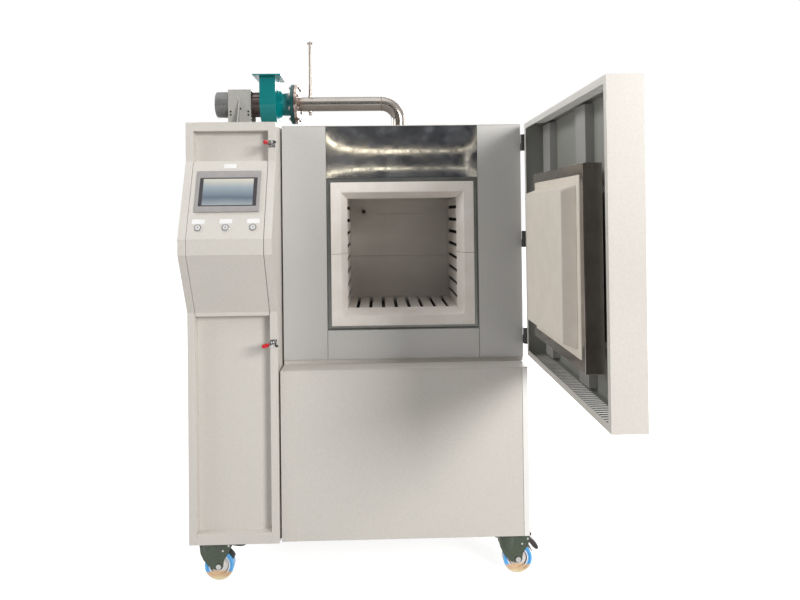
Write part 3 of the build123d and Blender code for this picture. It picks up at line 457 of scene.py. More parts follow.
def polished_surface():
    """Polished stainless steel with cloudy smears and streaks as from wiping, partly a painted dark
    mottled reflection.
    """
    material, tree, shader = new_finish("Polished steel", Metallic=1.0)
    effect = place_effect(tree, "brushed", Stretch=(26.0, 26.0, 6.0), Smudge_Scale=30.0)
    # Smears and streaks, which also paint a dark mottled reflection into the colour
    color = blend_colors(tree, effect["Smudge"], tone(0.74, 0.01), tone(0.56, 0.01))
    streaks_and_painted_reflection = remap(tree, effect["Lines"], 0.35, 0.9, 0.0, 0.25)
    color = blend_colors(tree, streaks_and_painted_reflection, color, tone(0.50, 0.01))
    tree.links.new(color, shader.inputs["Base Color"])
    tree.links.new(remap(tree, effect["Smudge"], 0.0, 1.0, 0.03, 0.11), shader.inputs["Roughness"])
    dent(tree, shader, effect["Height"], 0.02, 0.0006)
    return material


def wheel_finish(name, axle):
    """White hub and blue core, going amber low on the wheel and tan lowest down."""
    material, tree, shader = new_finish(name, Roughness=0.30, Coat_Weight=0.4)
    place = object_place(tree)
    drift = noise(tree, place, 70.0, 4.0)
    blue = blend_colors(tree, drift, (0.075, 0.42, 0.92, 1), (0.14, 0.52, 0.95, 1))
    hub = blend_colors(tree, drift, (0.84, 0.83, 0.82, 1), (0.68, 0.63, 0.61, 1))
    amber = blend_colors(tree, drift, (0.62, 0.38, 0.20, 1), (0.80, 0.60, 0.40, 1))
    color = blue
    for radius, ring in (*WHEEL_RINGS, (HUB_RADIUS, hub)):
        color = blend_colors(tree, near_axis(tree, axle, radius), color, ring)
    edge = calculate(tree, "MULTIPLY_ADD", drift, 0.006, parts_of(tree, place)[2])
    # Amber below one height and tan below a lower one, by height above the floor
    color = blend_colors(tree, remap(tree, edge, *LOW_AMBER_HEIGHTS, 1.0, 0.0), color, amber)
    color = blend_colors(tree, remap(tree, edge, *LOW_TAN_HEIGHTS, 0.7, 0.0), color, (0.86, 0.76, 0.48, 1))
    tree.links.new(color, shader.inputs["Base Color"])
    return material


WARM_WHITE = (0.66, 0.632, 0.592, 1.0)
WARM_WHITE_2 = (0.61, 0.582, 0.543, 1.0)
FINISHES = {
    "cabinet_paint": powder_paint("Warm white powder paint", WARM_WHITE, WARM_WHITE_2, 0.42),
    "casing_paint": powder_paint("Grey powder paint", tone(0.56, 0.015), tone(0.52, 0.015), 0.38),
    "polished_steel": polished_surface(),
    "dark_steel": scratched_metal(
        "Dark trim steel", (0.22, 0.223, 0.212, 1), (0.155, 0.158, 0.15, 1), 0.40, (700.0, 700.0, 20.0)),
    "fibre": fibre_board("Ceramic fibre", (0.95, 0.905, 0.87, 1), (0.87, 0.815, 0.76, 1)),
    "element_wire": scratched_metal(
        "Oxidised heating wire", tone(0.14, 0.05), tone(0.07, 0.08), 0.5, (300.0, 300.0, 300.0)),
    "bare_steel": scratched_metal(
        "Bare steel", tone(0.42, 0.02), tone(0.26, 0.02), 0.42, (600.0, 600.0, 30.0)),
    "bright_steel": scratched_metal(
        "Plated steel", tone(0.62), tone(0.40), 0.22, (500.0, 500.0, 90.0), 0.08),
    "pipe_steel": scratched_metal(
        "Stainless tube", (0.56, 0.52, 0.47, 1), (0.36, 0.33, 0.30, 1), 0.22, (14.0, 900.0, 900.0), 0.15,
        (0, -0.292, -0.262, (0.42, 0.27, 0.19, 1))),
    "black_steel": powder_paint("Black paint", tone(0.018), tone(0.028), 0.40),
    "bezel_plastic": moulded("Screen surround", (0.325, 0.31, 0.31, 1), (0.36, 0.345, 0.345, 1), 0.38),
    "screen": screen_surface(),
    "label_plate": moulded("Label plate", tone(0.86), tone(0.80), 0.35, 900.0, 0.05),
    "gear_plastic": moulded("Switchgear", tone(0.10), tone(0.07), 0.5),
    "black_plastic": moulded("Black nylon", (0.022, 0.018, 0.018, 1), (0.035, 0.028, 0.028, 1), 0.42),
    "blower_paint": powder_paint(
        "Teal enamel", (0.000, 0.165, 0.172, 1), (0.001, 0.190, 0.195, 1), 0.24, 0.06),
    "motor_paint": powder_paint("Motor grey", tone(0.19), tone(0.12), 0.20, 0.3),
    "bracket_paint": powder_paint("Bracket grey", (0.42, 0.41, 0.385, 1), (0.36, 0.35, 0.33, 1), 0.36),
    "black_rubber": moulded("Gasket rubber", tone(0.02), tone(0.03), 0.7),
    "button_cap": moulded("Button face", tone(0.66), tone(0.72), 0.35, 600.0, 0.05),
    "red_grip": moulded("Red grip", (0.62, 0.004, 0.012, 1), (0.50, 0.004, 0.010, 1), 0.28),
    "fork_paint": powder_paint(
        "Dark green fork", (0.040, 0.060, 0.036, 1), (0.064, 0.085, 0.052, 1), 0.20, 0.25),
    "wheel_plastic": moulded("Wheel plastic", (0.08, 0.36, 0.84, 1), (0.10, 0.42, 0.88, 1), 0.3),
}


# Mesh helpers
def link(name, mesh):
    """A mesh as an object of the scene."""
    piece = bpy.data.objects.new(name, mesh)
    bpy.context.scene.collection.objects.link(piece)
    return piece


def applied(piece):
    """Make a piece's modifiers part of its mesh."""
    graph = bpy.context.evaluated_depsgraph_get()
    mesh = bpy.data.meshes.new_from_object(piece.evaluated_get(graph))
    mesh.name = piece.name
    piece.modifiers.clear()
    old = piece.data
    piece.data = mesh
    if old.users == 0:
        bpy.data.meshes.remove(old)


def soften(mesh, angle):
    """Smooth shading that keeps the sharp edges."""
    mesh.polygons.foreach_set("use_smooth", [True] * len(mesh.polygons))
    mesh.set_sharp_from_angle(angle=radians(angle))


def fit(piece, body, slot, *replaced, finish=None):
    """Give a piece its finish and fasten it to its body."""
    piece.data.materials.clear()
    piece.data.materials.append(finish or FINISHES[slot])
    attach(piece, body)
    if replaced:
        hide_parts(*replaced)


def body_of_node(node):
    """The rigid body that a node belongs to."""
    for body, members in frame["record"]["behaviour"]["bodies"].items():
        if node in members:
            return body
    raise ValueError(node)


def slot_of_node(node):
    """The material slot of a node."""
    for part in frame["record"]["subparts"]:
        if part["node"] == node:
            return part["material_slot"]
    raise ValueError(node)


def merged_copy(node):
    """A copy of a node's mesh with shared corners and flat faces joined."""
    mesh = frame["nodes"][node].data.copy()
    work = bmesh.new()
    work.from_mesh(mesh)
    bmesh.ops.remove_doubles(work, verts=work.verts, dist=2e-6)
    bmesh.ops.dissolve_limit(work, angle_limit=radians(0.5), verts=work.verts, edges=work.edges)
    work.to_mesh(mesh)
    work.free()
    return mesh


def refine(node, round_width, bend=CASTING_BEND, segments=2, finish=None):
    """Stand a copy with rounded edges and smooth curves in for a node."""
    piece = link(f"{node}_finished", merged_copy(node))
    piece.data.polygons.foreach_set("use_smooth", [True] * len(piece.data.polygons))
    bevel = piece.modifiers.new("Round edges", "BEVEL")
    bevel.width = round_width
    bevel.segments = segments
    bevel.limit_method = "ANGLE"
    bevel.angle_limit = radians(bend)
    piece.modifiers.new("Flat faces stay flat", "WEIGHTED_NORMAL")
    applied(piece)
    fit(piece, body_of_node(node), slot_of_node(node), node, finish=finish)


# Finishes with zones of their own
def door_finish():
    """Cabinet paint outside, dull grey inside the door's hollow."""
    material, tree, shader = variant("cabinet_paint", "Door paint")
    inset = Vector((DOOR_SHEET, DOOR_SHEET, DOOR_SHEET))
    low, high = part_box("door_shell")
    overlay(tree, shader, in_box(tree, low + inset, high - inset), (0.325, 0.327, 0.302, 1), None, 0.5)
    return material


def cabinet_wall_finish():
    """Cabinet paint with a painted highlight on the strip beside the front cover."""
    material, tree, shader = variant("cabinet_paint", "Cabinet wall paint")
    low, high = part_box("lower_wall_panels")
    strip_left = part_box("lower_front_cover")[1].x
    mask = in_box(tree, (strip_left, low.y - 0.01, low.z - 0.01),
                  (high.x + 0.01, low.y + STRIP_DEPTH, high.z - STRIP_DEPTH))
    # Painted highlight: the strip is made paler for the light that falls on it from the right
    overlay(tree, shader, mask, (0.88, 0.87, 0.85, 1))
    return material


def chamber_finish(name, axis):
    """Chamber board, darker in cloudy patches, with painted shade deep in its slots."""
    material, tree, shader = variant("fibre", name)
    place = object_place(tree)
    dull = remap(tree, noise(tree, place, 5.0, 3.0), 0.3, 0.7, 0.45, 0.7)
    overlay(tree, shader, dull, (0.62, 0.585, 0.54, 1))
    # Painted shade: the slots turn near black deeper into the board
    away = distance(tree, parts_of(tree, place)[axis], CHAMBER_MIDDLE[axis])
    deep = remap(tree, away, CHAMBER_HALF + SLOT_SHADE[0], CHAMBER_HALF + SLOT_SHADE[1])
    overlay(tree, shader, deep, (0.035, 0.032, 0.030, 1))
    return material


def clamp_arm_finish(node):
    """Plated arm with a black rubber tip."""
    material, tree, shader = variant("bright_steel", f"Clamp arm {node}")
    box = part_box(node)
    overlay(tree, shader, in_slice(tree, box, 0, start=box[1].x - CLAMP_TIP), tone(0.012), 0.0, 0.45)
    return material


def clamp_handle_finish(node):
    """Red grip on a plated bar. The bar starts at the pivot, beside the base."""
    material, tree, shader = variant("red_grip", f"Clamp handle {node}")
    mask = near_axis(tree, joint_place(f"{node}_swing"), GRIP_START, (1.0, 1.0, 0.0))
    overlay(tree, shader, mask, tone(0.55), 1.0, 0.25)
    return material


def joint_place(name):
    """Where a joint's axis passes, in metres."""
    for joint in frame["record"]["behaviour"]["joints"]:
        if joint["name"] == name:
            return Vector(joint["pos_m"])
    raise ValueError(name)


def fork_finish(corner):
    """Green fork with plated rivets and, where there is one, a black brake shoe."""
    material, tree, shader = variant("fork_paint", f"Fork {corner}")
    centre = joint_place(f"{corner}_swivel")
    x, y = centre.x, centre.y
    proud = FORK_OUTER + 0.0003
    for side in (-1, 1):
        near, far = sorted((y + side * proud, y + side * FORK_REACH))
        for low_x, high_x, low_z, high_z in RIVETS:
            mask = in_box(tree, (x + low_x, near, low_z), (x + high_x, far, high_z))
            overlay(tree, shader, mask, tone(0.46, 0.01), 1.0, 0.30)
    low_x, high_x, low_z, high_z = SHOE
    mask = in_box(tree, (x + low_x, y - SHOE_HALF, low_z), (x + high_x, y + SHOE_HALF, high_z))
    overlay(tree, shader, mask, tone(0.012), 0.0, 0.5)
    return material


def button_finish(node):
    """Off-white cap with a small dark mark in its middle."""
    material, tree, shader = variant("button_cap", f"Button {node}")
    low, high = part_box(node)
    reach = (high.x - low.x) / 2
    face = Vector(((low.x + high.x) / 2, low.y + reach * SLOPE_LEAN, high.z - reach * SLOPE_RISE))
    overlay(tree, shader, near_axis(tree, face, BUTTON_MARK, (1.0, 1.0, 1.0)), tone(0.05))
    return material


def teal_finish():
    """Blower enamel, with a painted highlight on the side plate, and darker on the inlet rim."""
    material, tree, shader = variant("blower_paint", "Blower enamel")
    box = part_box("blower_volute")
    # Painted highlight: the side plate is paler for the light on its rounded edge
    overlay(tree, shader, in_slice(tree, box, 0, start=VOLUTE_SIDE_X - 0.001), (0.001, 0.225, 0.240, 1))
    overlay(tree, shader, in_slice(tree, box, 0, start=box[1].x - INLET_RIM), (0.0, 0.060, 0.062, 1))
    return material


def pipe_finish():
    """Stainless tube with a painted reflection, darker above and paler below, with a rusty turned flange
    and two welds.
    """
    material, tree, shader = variant("pipe_steel", "Exhaust pipe")
    low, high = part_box("exhaust_pipe")
    place = object_place(tree)
    rise = parts_of(tree, place)[2]
    middle = (low.z + high.z) / 2
    # Painted reflection: dark above the middle of the tube, pale below it
    above = remap(tree, rise, middle, middle + PIPE_DARK_REFLECTION_RISE, 0.0, 0.6)
    below = remap(tree, rise, middle, middle - PIPE_PALE_REFLECTION_DROP, 0.0, 0.85)
    overlay(tree, shader, above, (0.20, 0.18, 0.165, 1))
    overlay(tree, shader, below, (0.90, 0.85, 0.79, 1))
    stain = remap(tree, noise(tree, place, 55.0, 4.0, Distortion=1.0), 0.40, 0.62)
    rust = blend_colors(tree, stain, (0.66, 0.56, 0.52, 1), (0.22, 0.15, 0.12, 1))
    flange = in_slice(tree, (low, high), 0, end=low.x + PIPE_FLANGE)
    overlay(tree, shader, flange, rust, None, 0.28)
    for weld_x in (high.x - PIPE_BEND - 0.001, low.x + PIPE_FLANGE + 0.0003):
        weld = in_slice(tree, (low, high), 0, weld_x, weld_x + WELD_WIDTH)
        overlay(tree, shader, weld, (0.20, 0.15, 0.12, 1), None, 0.45)
    return material


def motor_finish():
    """Grey motor with a brown bare end bell towards the blower."""
    material, tree, shader = variant("motor_paint", "Motor")
    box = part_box("motor_housing")
    bell = in_slice(tree, box, 0, start=box[1].x - END_BELL)
    overlay(tree, shader, bell, (0.155, 0.115, 0.105, 1), 0.6, 0.32)
    return material


HEARTH_LOW, HEARTH_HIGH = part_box("hearth_board")
CHAMBER_MIDDLE = Vector(((HEARTH_LOW.x + HEARTH_HIGH.x) / 2, 0, HEARTH_HIGH.z + CHAMBER_HALF))

for node, owner in frame["nodes"].items():
    owner.data.materials.clear()
    owner.data.materials.append(FINISHES[slot_of_node(node)])

SPECIAL = {
    "door_shell": door_finish(),
    "lower_wall_panels": cabinet_wall_finish(),
    "hearth_board": chamber_finish("Hearth board", 2),
    "chamber_wall_boards": chamber_finish("Chamber wall board", 0),
    "rear_wall_boards": chamber_finish("Rear wall board", 0),
    "exhaust_pipe": pipe_finish(),
    "motor_housing": motor_finish(),
    "blower_volute": teal_finish(),
    "door_stiffeners": powder_paint("Stiffener grey", tone(0.40, 0.01), tone(0.36, 0.01), 0.5),
    "plug_pan": scratched_metal(
        "Stainless pan", (0.52, 0.48, 0.45, 1), (0.36, 0.325, 0.30, 1), 0.16, (900.0, 900.0, 12.0)),
    "plug_boards": fibre_board("Plug fibre", (0.87, 0.80, 0.72, 1), (0.80, 0.73, 0.65, 1)),
    "clamp_bases": FINISHES["bright_steel"],
    "flange_bolts": FINISHES["bare_steel"],
    "damper": scratched_metal(
        "Damper steel", (0.34, 0.30, 0.27, 1), (0.24, 0.21, 0.19, 1), 0.38, (60.0, 60.0, 9.0), 0.08),
    "thermocouple": fibre_board("Thermocouple sheath", (0.075, 0.07, 0.065, 1), (0.05, 0.046, 0.043, 1)),
    "heating_elements": fibre_board("Ceramic tube", (0.42, 0.39, 0.36, 1), (0.34, 0.31, 0.28, 1)),
}
SHEET_NODES = (
    "column_side_panels", "column_closing_panels", "column_recess_panels", "console_panel",
    "lower_wall_panels", "lower_front_cover", "casing_wall_panels", "casing_top_panel", "front_panels",
    "mouth_trim_frame", "door_shell", "door_stiffeners", "plug_pan", "terminal_cover", "motor_bracket",
    "label_plates", "electrical_plate",
)
BOARD_NODES = (
    "mouth_frame_boards", "hearth_board", "chamber_wall_boards", "rear_wall_boards", "plug_boards",
)
CASTING_NODES = (
    "heating_elements", "exhaust_pipe", "blower_volute", "motor_housing", "motor_fan_cover", "damper",
    "flange_bolts", "flange_gasket", "body_hinge_halves", "door_hinge_halves", "cable_gland",
    "thermocouple", "base_frame", "clamp_bases", "blower_rotor", "switchgear",
)
for node in SHEET_NODES:
    width = LABEL_ROUND if node == "label_plates" else SHEET_ROUND
    refine(node, width, SHEET_BEND, finish=SPECIAL.get(node))
for node in BOARD_NODES:
    refine(node, BOARD_ROUND, finish=SPECIAL.get(node))
for node in CASTING_NODES:
    refine(node, CASTING_ROUND, finish=SPECIAL.get(node))
refine("screen_bezel", BEZEL_ROUND, segments=1)
refine("screen_glass", CASTING_ROUND)
refine("button_bezels", RING_ROUND, segments=3)
for node in ("left_button", "middle_button", "right_button"):
    refine(node, CAP_ROUND, finish=button_finish(node))
for level in ("upper", "lower"):
    arm, handle = f"{level}_clamp_arm", f"{level}_clamp_handle"
    refine(arm, CASTING_ROUND, finish=clamp_arm_finish(arm))
    refine(handle, CASTING_ROUND, finish=clamp_handle_finish(handle))
for corner in CORNERS:
    refine(f"{corner}_fork", FORK_ROUND, finish=fork_finish(corner))
    painted = wheel_finish(f"Wheel {corner}", joint_place(f"{corner}_roll"))
    refine(f"{corner}_wheel", WHEEL_ROUND, segments=3, finish=painted)
for corner in ("front_left", "front_right"):
    refine(f"{corner}_pedal", PEDAL_ROUND, segments=3)


def make_head_panel():
    """The polished sheet over the mouth, bulged a little as thin polished sheet is, with folded edges."""
    low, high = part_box("head_panel")
    columns, rows = PANEL_GRID
    half_width, half_height = (high.x - low.x) / 2, (high.z - low.z) / 2
    middle_x, middle_z = (high.x + low.x) / 2, (high.z + low.z) / 2
    verts, faces = [], []
    for row in range(rows + 1):
        v = 2 * row / rows - 1
        for column in range(columns + 1):
            u = 2 * column / columns - 1
            held = abs(u) ** (PANEL_HOLD_LEFT if u < 0 else PANEL_HOLD_RIGHT)
            bulge = half_height * (PANEL_LEAN * v + PANEL_CURVE * v * v) * (1 - held)
            front = low.y + PANEL_INSET + bulge
            verts.append((middle_x + u * half_width, front, middle_z + v * half_height))
    for row in range(rows):
        for column in range(columns):
            a = row * (columns + 1) + column
            faces.append((a, a + 1, a + columns + 2, a + columns + 1))
    mesh = bpy.data.meshes.new("head_panel_finished")
    mesh.from_pydata(verts, [], faces)
    piece = link("head_panel_finished", mesh)
    work = bmesh.new()
    work.from_mesh(mesh)
    rim = [edge for edge in work.edges if edge.is_boundary]
    folded = bmesh.ops.extrude_edge_only(work, edges=rim)["geom"]
    for part in folded:
        if isinstance(part, bmesh.types.BMVert):
            part.co.y = high.y
    bmesh.ops.recalc_face_normals(work, faces=work.faces)
    if work.faces[0].normal.y > 0:
        bmesh.ops.reverse_faces(work, faces=work.faces)
    work.to_mesh(mesh)
    work.free()
    shell = piece.modifiers.new("Sheet", "SOLIDIFY")
    shell.thickness = PANEL_SHEET
    shell.offset = -1
    applied(piece)
    soften(piece.data, 40.0)
    fit(piece, body_of_node("head_panel"), "polished_steel", "head_panel")


make_head_panel()


# Geometry Nodes
def new_tree(name, inputs):
    """A Geometry Nodes tree with named values: the tree, its input, its output and its socket names."""
    tree = bpy.data.node_groups.new(name, "GeometryNodeTree")
    tree.interface.new_socket("Geometry", in_out="INPUT", socket_type="NodeSocketGeometry")
    tree.interface.new_socket("Geometry", in_out="OUTPUT", socket_type="NodeSocketGeometry")
    names = {}
    for label, (kind, default) in inputs.items():
        socket = tree.interface.new_socket(label, in_out="INPUT", socket_type=f"NodeSocket{kind}")
        if default is not None:
            socket.default_value = default
        names[label] = socket.identifier
    return tree, tree.nodes.new("NodeGroupInput"), tree.nodes.new("NodeGroupOutput"), names


def grow(name, points, outward, tree, names, values, body, slot, angle=40.0):
    """Run a tree on a cloud of points and keep the result as one plain mesh piece on a body."""
    mesh = bpy.data.meshes.new(name)
    mesh.from_pydata([tuple(p) for p in points], [], [])
    direction = mesh.attributes.new("outward", "FLOAT_VECTOR", "POINT")
    direction.data.foreach_set("vector", [c for v in outward for c in v])
    piece = link(name, mesh)
    modifier = piece.modifiers.new("Made by rule", "NODES")
    modifier.node_group = tree
    for label, value in values.items():
        modifier[names[label]] = value
    applied(piece)
    soften(piece.data, angle)
    fit(piece, body, slot)


def finish_tree(tree, given, result, shape):
    """Place the shape on every point, facing its outward direction, as one plain mesh."""
    facing = wire(tree, "GeometryNodeInputNamedAttribute", {"Name": "outward"}, data_type="FLOAT_VECTOR")
    turned = wire(
        tree, "FunctionNodeAlignRotationToVector", {"Vector": facing.outputs["Attribute"]}, axis="Z")
    placed = wire(tree, "GeometryNodeInstanceOnPoints", {
        "Points": given.outputs["Geometry"], "Instance": shape, "Rotation": turned.outputs[0],
    })
    real = wire(tree, "GeometryNodeRealizeInstances", {"Geometry": placed.outputs[0]})
    painted = wire(tree, "GeometryNodeSetMaterial", {
        "Geometry": real.outputs[0], "Material": given.outputs["Material"],
    })
    tree.links.new(painted.outputs[0], result.inputs[0])


def part_of_radius(tree, given, share):
    """A share of the radius of a screw's head."""
    return calculate(tree, "MULTIPLY", given.outputs["Head radius"], share)


def make_screw_tree():
    """Button-head screws: a domed head with a cone-shaped socket, closed underneath."""
    tree, given, result, names = new_tree("Screw heads", {
        "Head radius": ("Float", 0.0045), "Head height": ("Float", 0.0020),
        "Material": ("Material", None),
    })
    crown, socket = part_of_radius(tree, given, 0.72), part_of_radius(tree, given, 0.38)
    radius, height = given.outputs["Head radius"], given.outputs["Head height"]

    def cone(top, bottom, depth):
        """An open cone wall."""
        return wire(tree, "GeometryNodeMeshCone", {
            "Vertices": SCREW_SIDES, "Radius Top": top, "Radius Bottom": bottom, "Depth": depth,
        }, fill_type="NONE")

    dome = cone(crown, radius, height)
    lift = wire(tree, "ShaderNodeCombineXYZ", {2: height})
    lip = wire(tree, "GeometryNodeTransform", {
        "Geometry": cone(socket, crown, 0.0).outputs[0], "Translation": lift.outputs[0],
    })
    well = wire(tree, "GeometryNodeFlipFaces", {0: cone(socket, 0.0, height).outputs[0]})
    base = wire(tree, "GeometryNodeMeshCircle", {
        "Vertices": SCREW_SIDES, "Radius": radius,
    }, fill_type="NGON")
    base = wire(tree, "GeometryNodeFlipFaces", {0: base.outputs[0]})
    head = wire(tree, "GeometryNodeJoinGeometry")
    for shape in (dome, lip, well, base):
        tree.links.new(shape.outputs[0], head.inputs[0])
    closed = wire(tree, "GeometryNodeMergeByDistance", {"Geometry": head.outputs[0], "Distance": 0.00001})
    finish_tree(tree, given, result, closed.outputs[0])
    return tree, names


def make_winding_tree():
    """Heating wire wound round straight rods, one helix for each rod."""
    tree, given, result, names = new_tree("Heating wire", {
        "Length": ("Float", 0.40), "Turns": ("Float", 50.0), "Coil radius": ("Float", 0.0046),
        "Wire radius": ("Float", 0.0007), "Material": ("Material", None),
    })
    helix = wire(tree, "GeometryNodeCurveSpiral", {
        "Resolution": 9, "Rotations": given.outputs["Turns"], "Height": given.outputs["Length"],
        "Start Radius": given.outputs["Coil radius"], "End Radius": given.outputs["Coil radius"],
    })
    section = wire(tree, "GeometryNodeCurvePrimitiveCircle", {
        "Resolution": 4, "Radius": given.outputs["Wire radius"],
    })
    wound = wire(tree, "GeometryNodeCurveToMesh", {
        "Curve": helix.outputs[0], "Profile Curve": section.outputs[0], "Fill Caps": True,
    })
    finish_tree(tree, given, result, wound.outputs[0])
    return tree, names


def rod_places():
    """Where the heating rods run, as (x, z), in the floor and in both sides."""
    offsets = [(index - (SLOT_COUNT - 1) / 2) * SLOT_PITCH for index in range(SLOT_COUNT)]
    x, z = CHAMBER_MIDDLE.x, CHAMBER_MIDDLE.z
    places = [(x + offset, z - ROD_DEPTH) for offset in offsets]
    return places + [(x + side * ROD_DEPTH, z + offset) for side in (-1, 1) for offset in offsets]


def wind_heating_wire():
    """The heating wire on all rods, as one piece."""
    tree, names = make_winding_tree()
    front, back = HEARTH_LOW.y + WIRE_FRONT_INSET, HEARTH_HIGH.y - WIRE_BACK_INSET
    points = [(x, front, z) for x, z in rod_places()]
    values = {
        "Length": back - front, "Turns": (back - front) / TURN_PITCH,
        "Coil radius": ROD_RADIUS + WIRE_RADIUS, "Wire radius": WIRE_RADIUS,
        "Material": FINISHES["element_wire"],
    }
    grow("heating_wire", points, [(0, 1, 0)] * len(points), tree, names, values,
         body_of_node("heating_elements"), "element_wire", angle=60.0)


def edge_row(low, high, axis, inset, spacing):
    """Points round the edges of the side of a box that looks along one axis."""
    first, second = [index for index in range(3) if index != axis]
    points = []
    for along, across in ((first, second), (second, first)):
        start, end = low[along] + inset, high[along] - inset
        count = max(1, round((end - start) / spacing))
        for step in range(count + 1):
            for side in (low[across] + inset, high[across] - inset):
                point = [0.0, 0.0, 0.0]
                point[axis] = high[axis]
                point[across] = side
                point[along] = start + (end - start) * step / count
                if point not in points:
                    points.append(point)
    return points


def drive_screws():
    """Rows of screws on the rear and side sheets, the terminal cover and the motor bracket."""
    tree, names = make_screw_tree()

    def row(name, points, outward, node, radius=0.0045, slot="bright_steel"):
        """One piece with a screw at each point."""
        values = {"Head radius": radius, "Head height": radius * 0.45, "Material": FINISHES[slot]}
        grow(name, points, [outward] * len(points), tree, names, values, body_of_node(node), slot)

    low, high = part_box("terminal_cover")
    deep = (low.y + high.y) / 2
    heights = [low.z + (high.z - low.z) * share for share in COVER_SCREW_SHARES]
    for side, x, outward in (("left", low.x, (-1, 0, 0)), ("right", high.x, (1, 0, 0))):
        points = [(x, deep, z) for z in heights]
        row(f"terminal_cover_{side}_screws", points, outward, "terminal_cover", 0.004)
    casing = ("casing_wall_panels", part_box("casing_wall_panels"))
    cabinet = ("lower_wall_panels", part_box("lower_wall_panels"))
    column = ("column_closing_panels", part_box("column_closing_panels"))
    for name, (node, box), axis, inset, spacing in (
        ("casing_right_screws", casing, 0, 0.020, 0.19),
        ("casing_rear_screws", casing, 1, 0.020, 0.20),
        ("cabinet_right_screws", cabinet, 0, 0.022, 0.21),
        ("cabinet_rear_screws", cabinet, 1, 0.022, 0.20),
        ("column_rear_screws", column, 1, 0.016, 0.20),
    ):
        outward = tuple(int(index == axis) for index in range(3))
        row(name, edge_row(*box, axis, inset, spacing), outward, node)
    low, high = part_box("motor_bracket")
    sides = (low.x + BRACKET_BOLT_INSET, high.x - BRACKET_BOLT_INSET)
    bolts = [(x, BRACKET_FACE_Y, high.z - drop) for x in sides for drop in BRACKET_BOLT_DROPS]
    share, drop = BRACKET_PIN
    bolts.append((low.x + (high.x - low.x) * share, BRACKET_FACE_Y, high.z - drop))
    row("bracket_bolts", bolts, (0, -1, 0), "motor_bracket", 0.0042, "black_steel")


wind_heating_wire()
drive_screws()


# Studio: levels of the world and the floor, and where the floor turns white
WORLD_LEVEL = 0.19
FLOOR_REACH = 30.0
FLOOR_LIFT = 0.84
FLOOR_WHITE = 1.2
SHADOW_REACH = (1.3, 2.2)

# The dark room: sides, strips as (height, half width, fade from x, to x, colour), post as (x, half width)
ROOM_REACH = 8.0
ROOM_FRONT, ROOM_BACK = -7.0, 4.0
ROOM_LOW, ROOM_HIGH = -0.5, 7.0
ROOM_STRIPS = (
    (2.356, 0.050, 0.25, 0.75, (3.8, 3.4, 2.6, 1)),
    (1.806, 0.045, 0.0, 0.6, (2.6, 2.4, 1.9, 1)),
    (4.80, 1.20, 8.0, 9.0, (0.60, 0.61, 0.63, 1)),
)
ROOM_POST = (1.35, 0.05)


def aim(place, target):
    """A turn that points an object's -Z axis from a place to a target."""
    return (Vector(target) - Vector(place)).to_track_quat("-Z", "Y").to_matrix().to_4x4()


def add_lamp(name, place, target, width, height, power, color=(1, 1, 1)):
    """A rectangular area lamp that points at a target."""
    lamp = bpy.data.lights.new(name, "AREA")
    lamp.shape = "RECTANGLE"
    lamp.size = width
    lamp.size_y = height
    lamp.energy = power
    lamp.color = color
    holder = bpy.data.objects.new(name, lamp)
    bpy.context.scene.collection.objects.link(holder)
    holder.matrix_world = Matrix.Translation(place) @ aim(place, target)


def seen_by(tree, *kinds):
    """1 for the named kinds of rays, 0 for the others."""
    path = tree.nodes.new("ShaderNodeLightPath")
    seen = path.outputs[f"Is {kinds[0]} Ray"]
    for kind in kinds[1:]:
        seen = calculate(tree, "MAXIMUM", seen, path.outputs[f"Is {kind} Ray"])
    return seen


def bare_material(name):
    """A material with an empty node tree, and the tree."""
    material = bpy.data.materials.new(name)
    material.use_nodes = True
    material.node_tree.nodes.clear()
    return material, material.node_tree


def make_world():
    """Even soft light, white where the camera or a reflection looks past the object."""
    world = bpy.data.worlds.new("Studio")
    bpy.context.scene.world = world
    world.use_nodes = True
    tree = world.node_tree
    tree.nodes.clear()
    seen = seen_by(tree, "Camera", "Glossy", "Transmission")
    soft = wire(tree, "ShaderNodeBackground", {"Color": (0.98, 0.985, 1.0, 1), "Strength": WORLD_LEVEL})
    white = wire(tree, "ShaderNodeBackground", {"Color": (1, 1, 1, 1), "Strength": 1.0})
    mixed = wire(tree, "ShaderNodeMixShader", {0: seen, 1: soft.outputs[0], 2: white.outputs[0]})
    wire(tree, "ShaderNodeOutputWorld", {"Surface": mixed.outputs[0]})


def make_floor():
    """A wide pale floor that shows white to the camera and keeps the furnace's shadow."""
    mesh = bpy.data.meshes.new("floor")
    reach = FLOOR_REACH
    corners = [(-reach, -reach, 0), (reach, -reach, 0), (reach, reach, 0), (-reach, reach, 0)]
    mesh.from_pydata(corners, [], [(0, 1, 2, 3)])
    floor = link("floor", mesh)
    material, tree = bare_material("Pale floor")
    seen = seen_by(tree, "Camera", "Glossy")
    away = calculate_vector(tree, "LENGTH", object_place(tree))
    level = remap(tree, away, *SHADOW_REACH, FLOOR_LIFT, FLOOR_WHITE)
    matte = wire(tree, "ShaderNodeBsdfDiffuse", {"Color": (0.46, 0.45, 0.44, 1)})
    lift = calculate(tree, "MULTIPLY", seen, level)
    glow = wire(tree, "ShaderNodeEmission", {"Color": (1, 1, 1, 1), "Strength": lift})
    total = wire(tree, "ShaderNodeAddShader", {0: matte.outputs[0], 1: glow.outputs[0]})
    wire(tree, "ShaderNodeOutputMaterial", {"Surface": total.outputs[0]})
    mesh.materials.append(material)


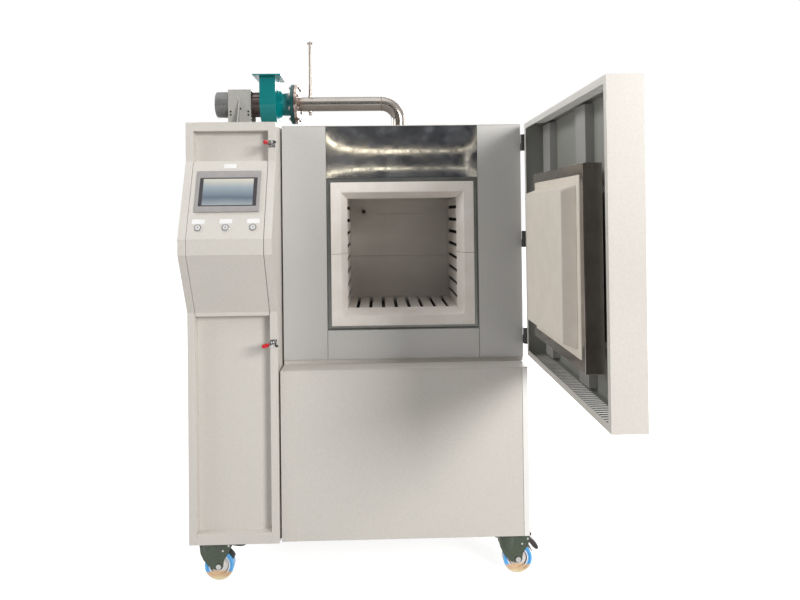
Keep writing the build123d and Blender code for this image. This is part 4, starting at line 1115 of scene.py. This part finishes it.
def make_dark_room():
    """Dark walls in front and at the left, with light strips, which only reflections see."""
    mesh = bpy.data.meshes.new("dark_room")
    plan = ((-ROOM_REACH, ROOM_BACK), (-ROOM_REACH, ROOM_FRONT), (ROOM_REACH, ROOM_FRONT))
    corners = [(x, y, z) for z in (ROOM_LOW, ROOM_HIGH) for x, y in plan]
    mesh.from_pydata(corners, [], [(0, 1, 4, 3), (1, 2, 5, 4)])
    wall = link("dark_room", mesh)
    material, tree = bare_material("Dark room")
    place = object_place(tree)
    parts = parts_of(tree, place)
    clutter = noise(tree, calculate_vector(tree, "MULTIPLY", place, (1.0, 1.0, 0.45)), 6.0, 5.0)
    mask = remap(tree, clutter, 0.42, 0.68)
    color = blend_colors(tree, mask, (0.011, 0.013, 0.019, 1), (0.165, 0.172, 0.19, 1))
    nearer = remap(tree, parts[0], -1.2, 1.4, 0.35, 0.0)
    color = blend_colors(tree, nearer, color, (0.30, 0.30, 0.30, 1))
    for height, half, left, right, bright in ROOM_STRIPS:
        mask = remap(tree, distance(tree, parts[2], height), half * 0.5, half, 1.0, 0.0)
        fade = remap(tree, parts[0], left, right, 1.0, 0.25)
        color = blend_colors(tree, calculate(tree, "MULTIPLY", mask, fade), color, bright)
    post_x, post_half = ROOM_POST
    mask = remap(tree, distance(tree, parts[0], post_x), post_half * 0.4, post_half, 1.0, 0.0)
    color = blend_colors(tree, mask, color, (0.9, 0.85, 0.75, 1))
    glow = wire(tree, "ShaderNodeEmission", {"Color": color, "Strength": 1.0})
    wire(tree, "ShaderNodeOutputMaterial", {"Surface": glow.outputs[0]})
    mesh.materials.append(material)
    for kind in ("camera", "diffuse", "transmission", "shadow", "volume_scatter"):
        setattr(wall, f"visible_{kind}", False)


def make_camera():
    """The camera of the photograph."""
    yaw, pitch, roll = radians(CAMERA_YAW), radians(CAMERA_PITCH), radians(CAMERA_ROLL)
    forward = Vector((sin(yaw) * cos(pitch), cos(yaw) * cos(pitch), sin(pitch)))
    level = Vector((cos(yaw), -sin(yaw), 0))
    rise = level.cross(forward)
    right = level * cos(roll) + rise * sin(roll)
    up = right.cross(forward)
    lens = bpy.data.cameras.new("camera")
    lens.lens = LENS_MM
    lens.sensor_width = SENSOR_MM
    lens.sensor_fit = "HORIZONTAL"
    lens.shift_x, lens.shift_y = LENS_SHIFT
    holder = bpy.data.objects.new("camera", lens)
    bpy.context.scene.collection.objects.link(holder)
    turn = Matrix((right, up, -forward)).transposed().to_4x4()
    holder.matrix_world = Matrix.Translation(CAMERA_PLACE) @ turn
    bpy.context.scene.camera = holder


bpy.context.scene.view_settings.view_transform = "Standard"
make_camera()
make_world()
make_floor()
make_dark_room()
add_lamp("key", (3.6, -4.7, 2.8), (-0.1, -0.1, 1.0), 2.0, 2.0, 320, (1.0, 0.985, 0.96))
add_lamp("overhead", (-0.4, -0.4, 4.2), (0.0, 0.2, 1.0), 3.5, 3.0, 36)
add_lamp("left_fill", (-4.0, -1.1, 2.9), (0.4, -0.2, 1.2), 1.8, 1.8, 70, (0.98, 1.0, 0.98))
add_lamp("rear", (1.6, 5.2, 2.8), (0.1, 0.6, 1.0), 3.0, 2.6, 190)
add_lamp("rear_left", (-4.4, 3.0, 2.4), (-0.3, 0.3, 1.0), 2.4, 2.4, 110)
add_lamp("right", (5.0, 1.8, 2.4), (0.4, 0.3, 1.0), 2.4, 2.4, 70)
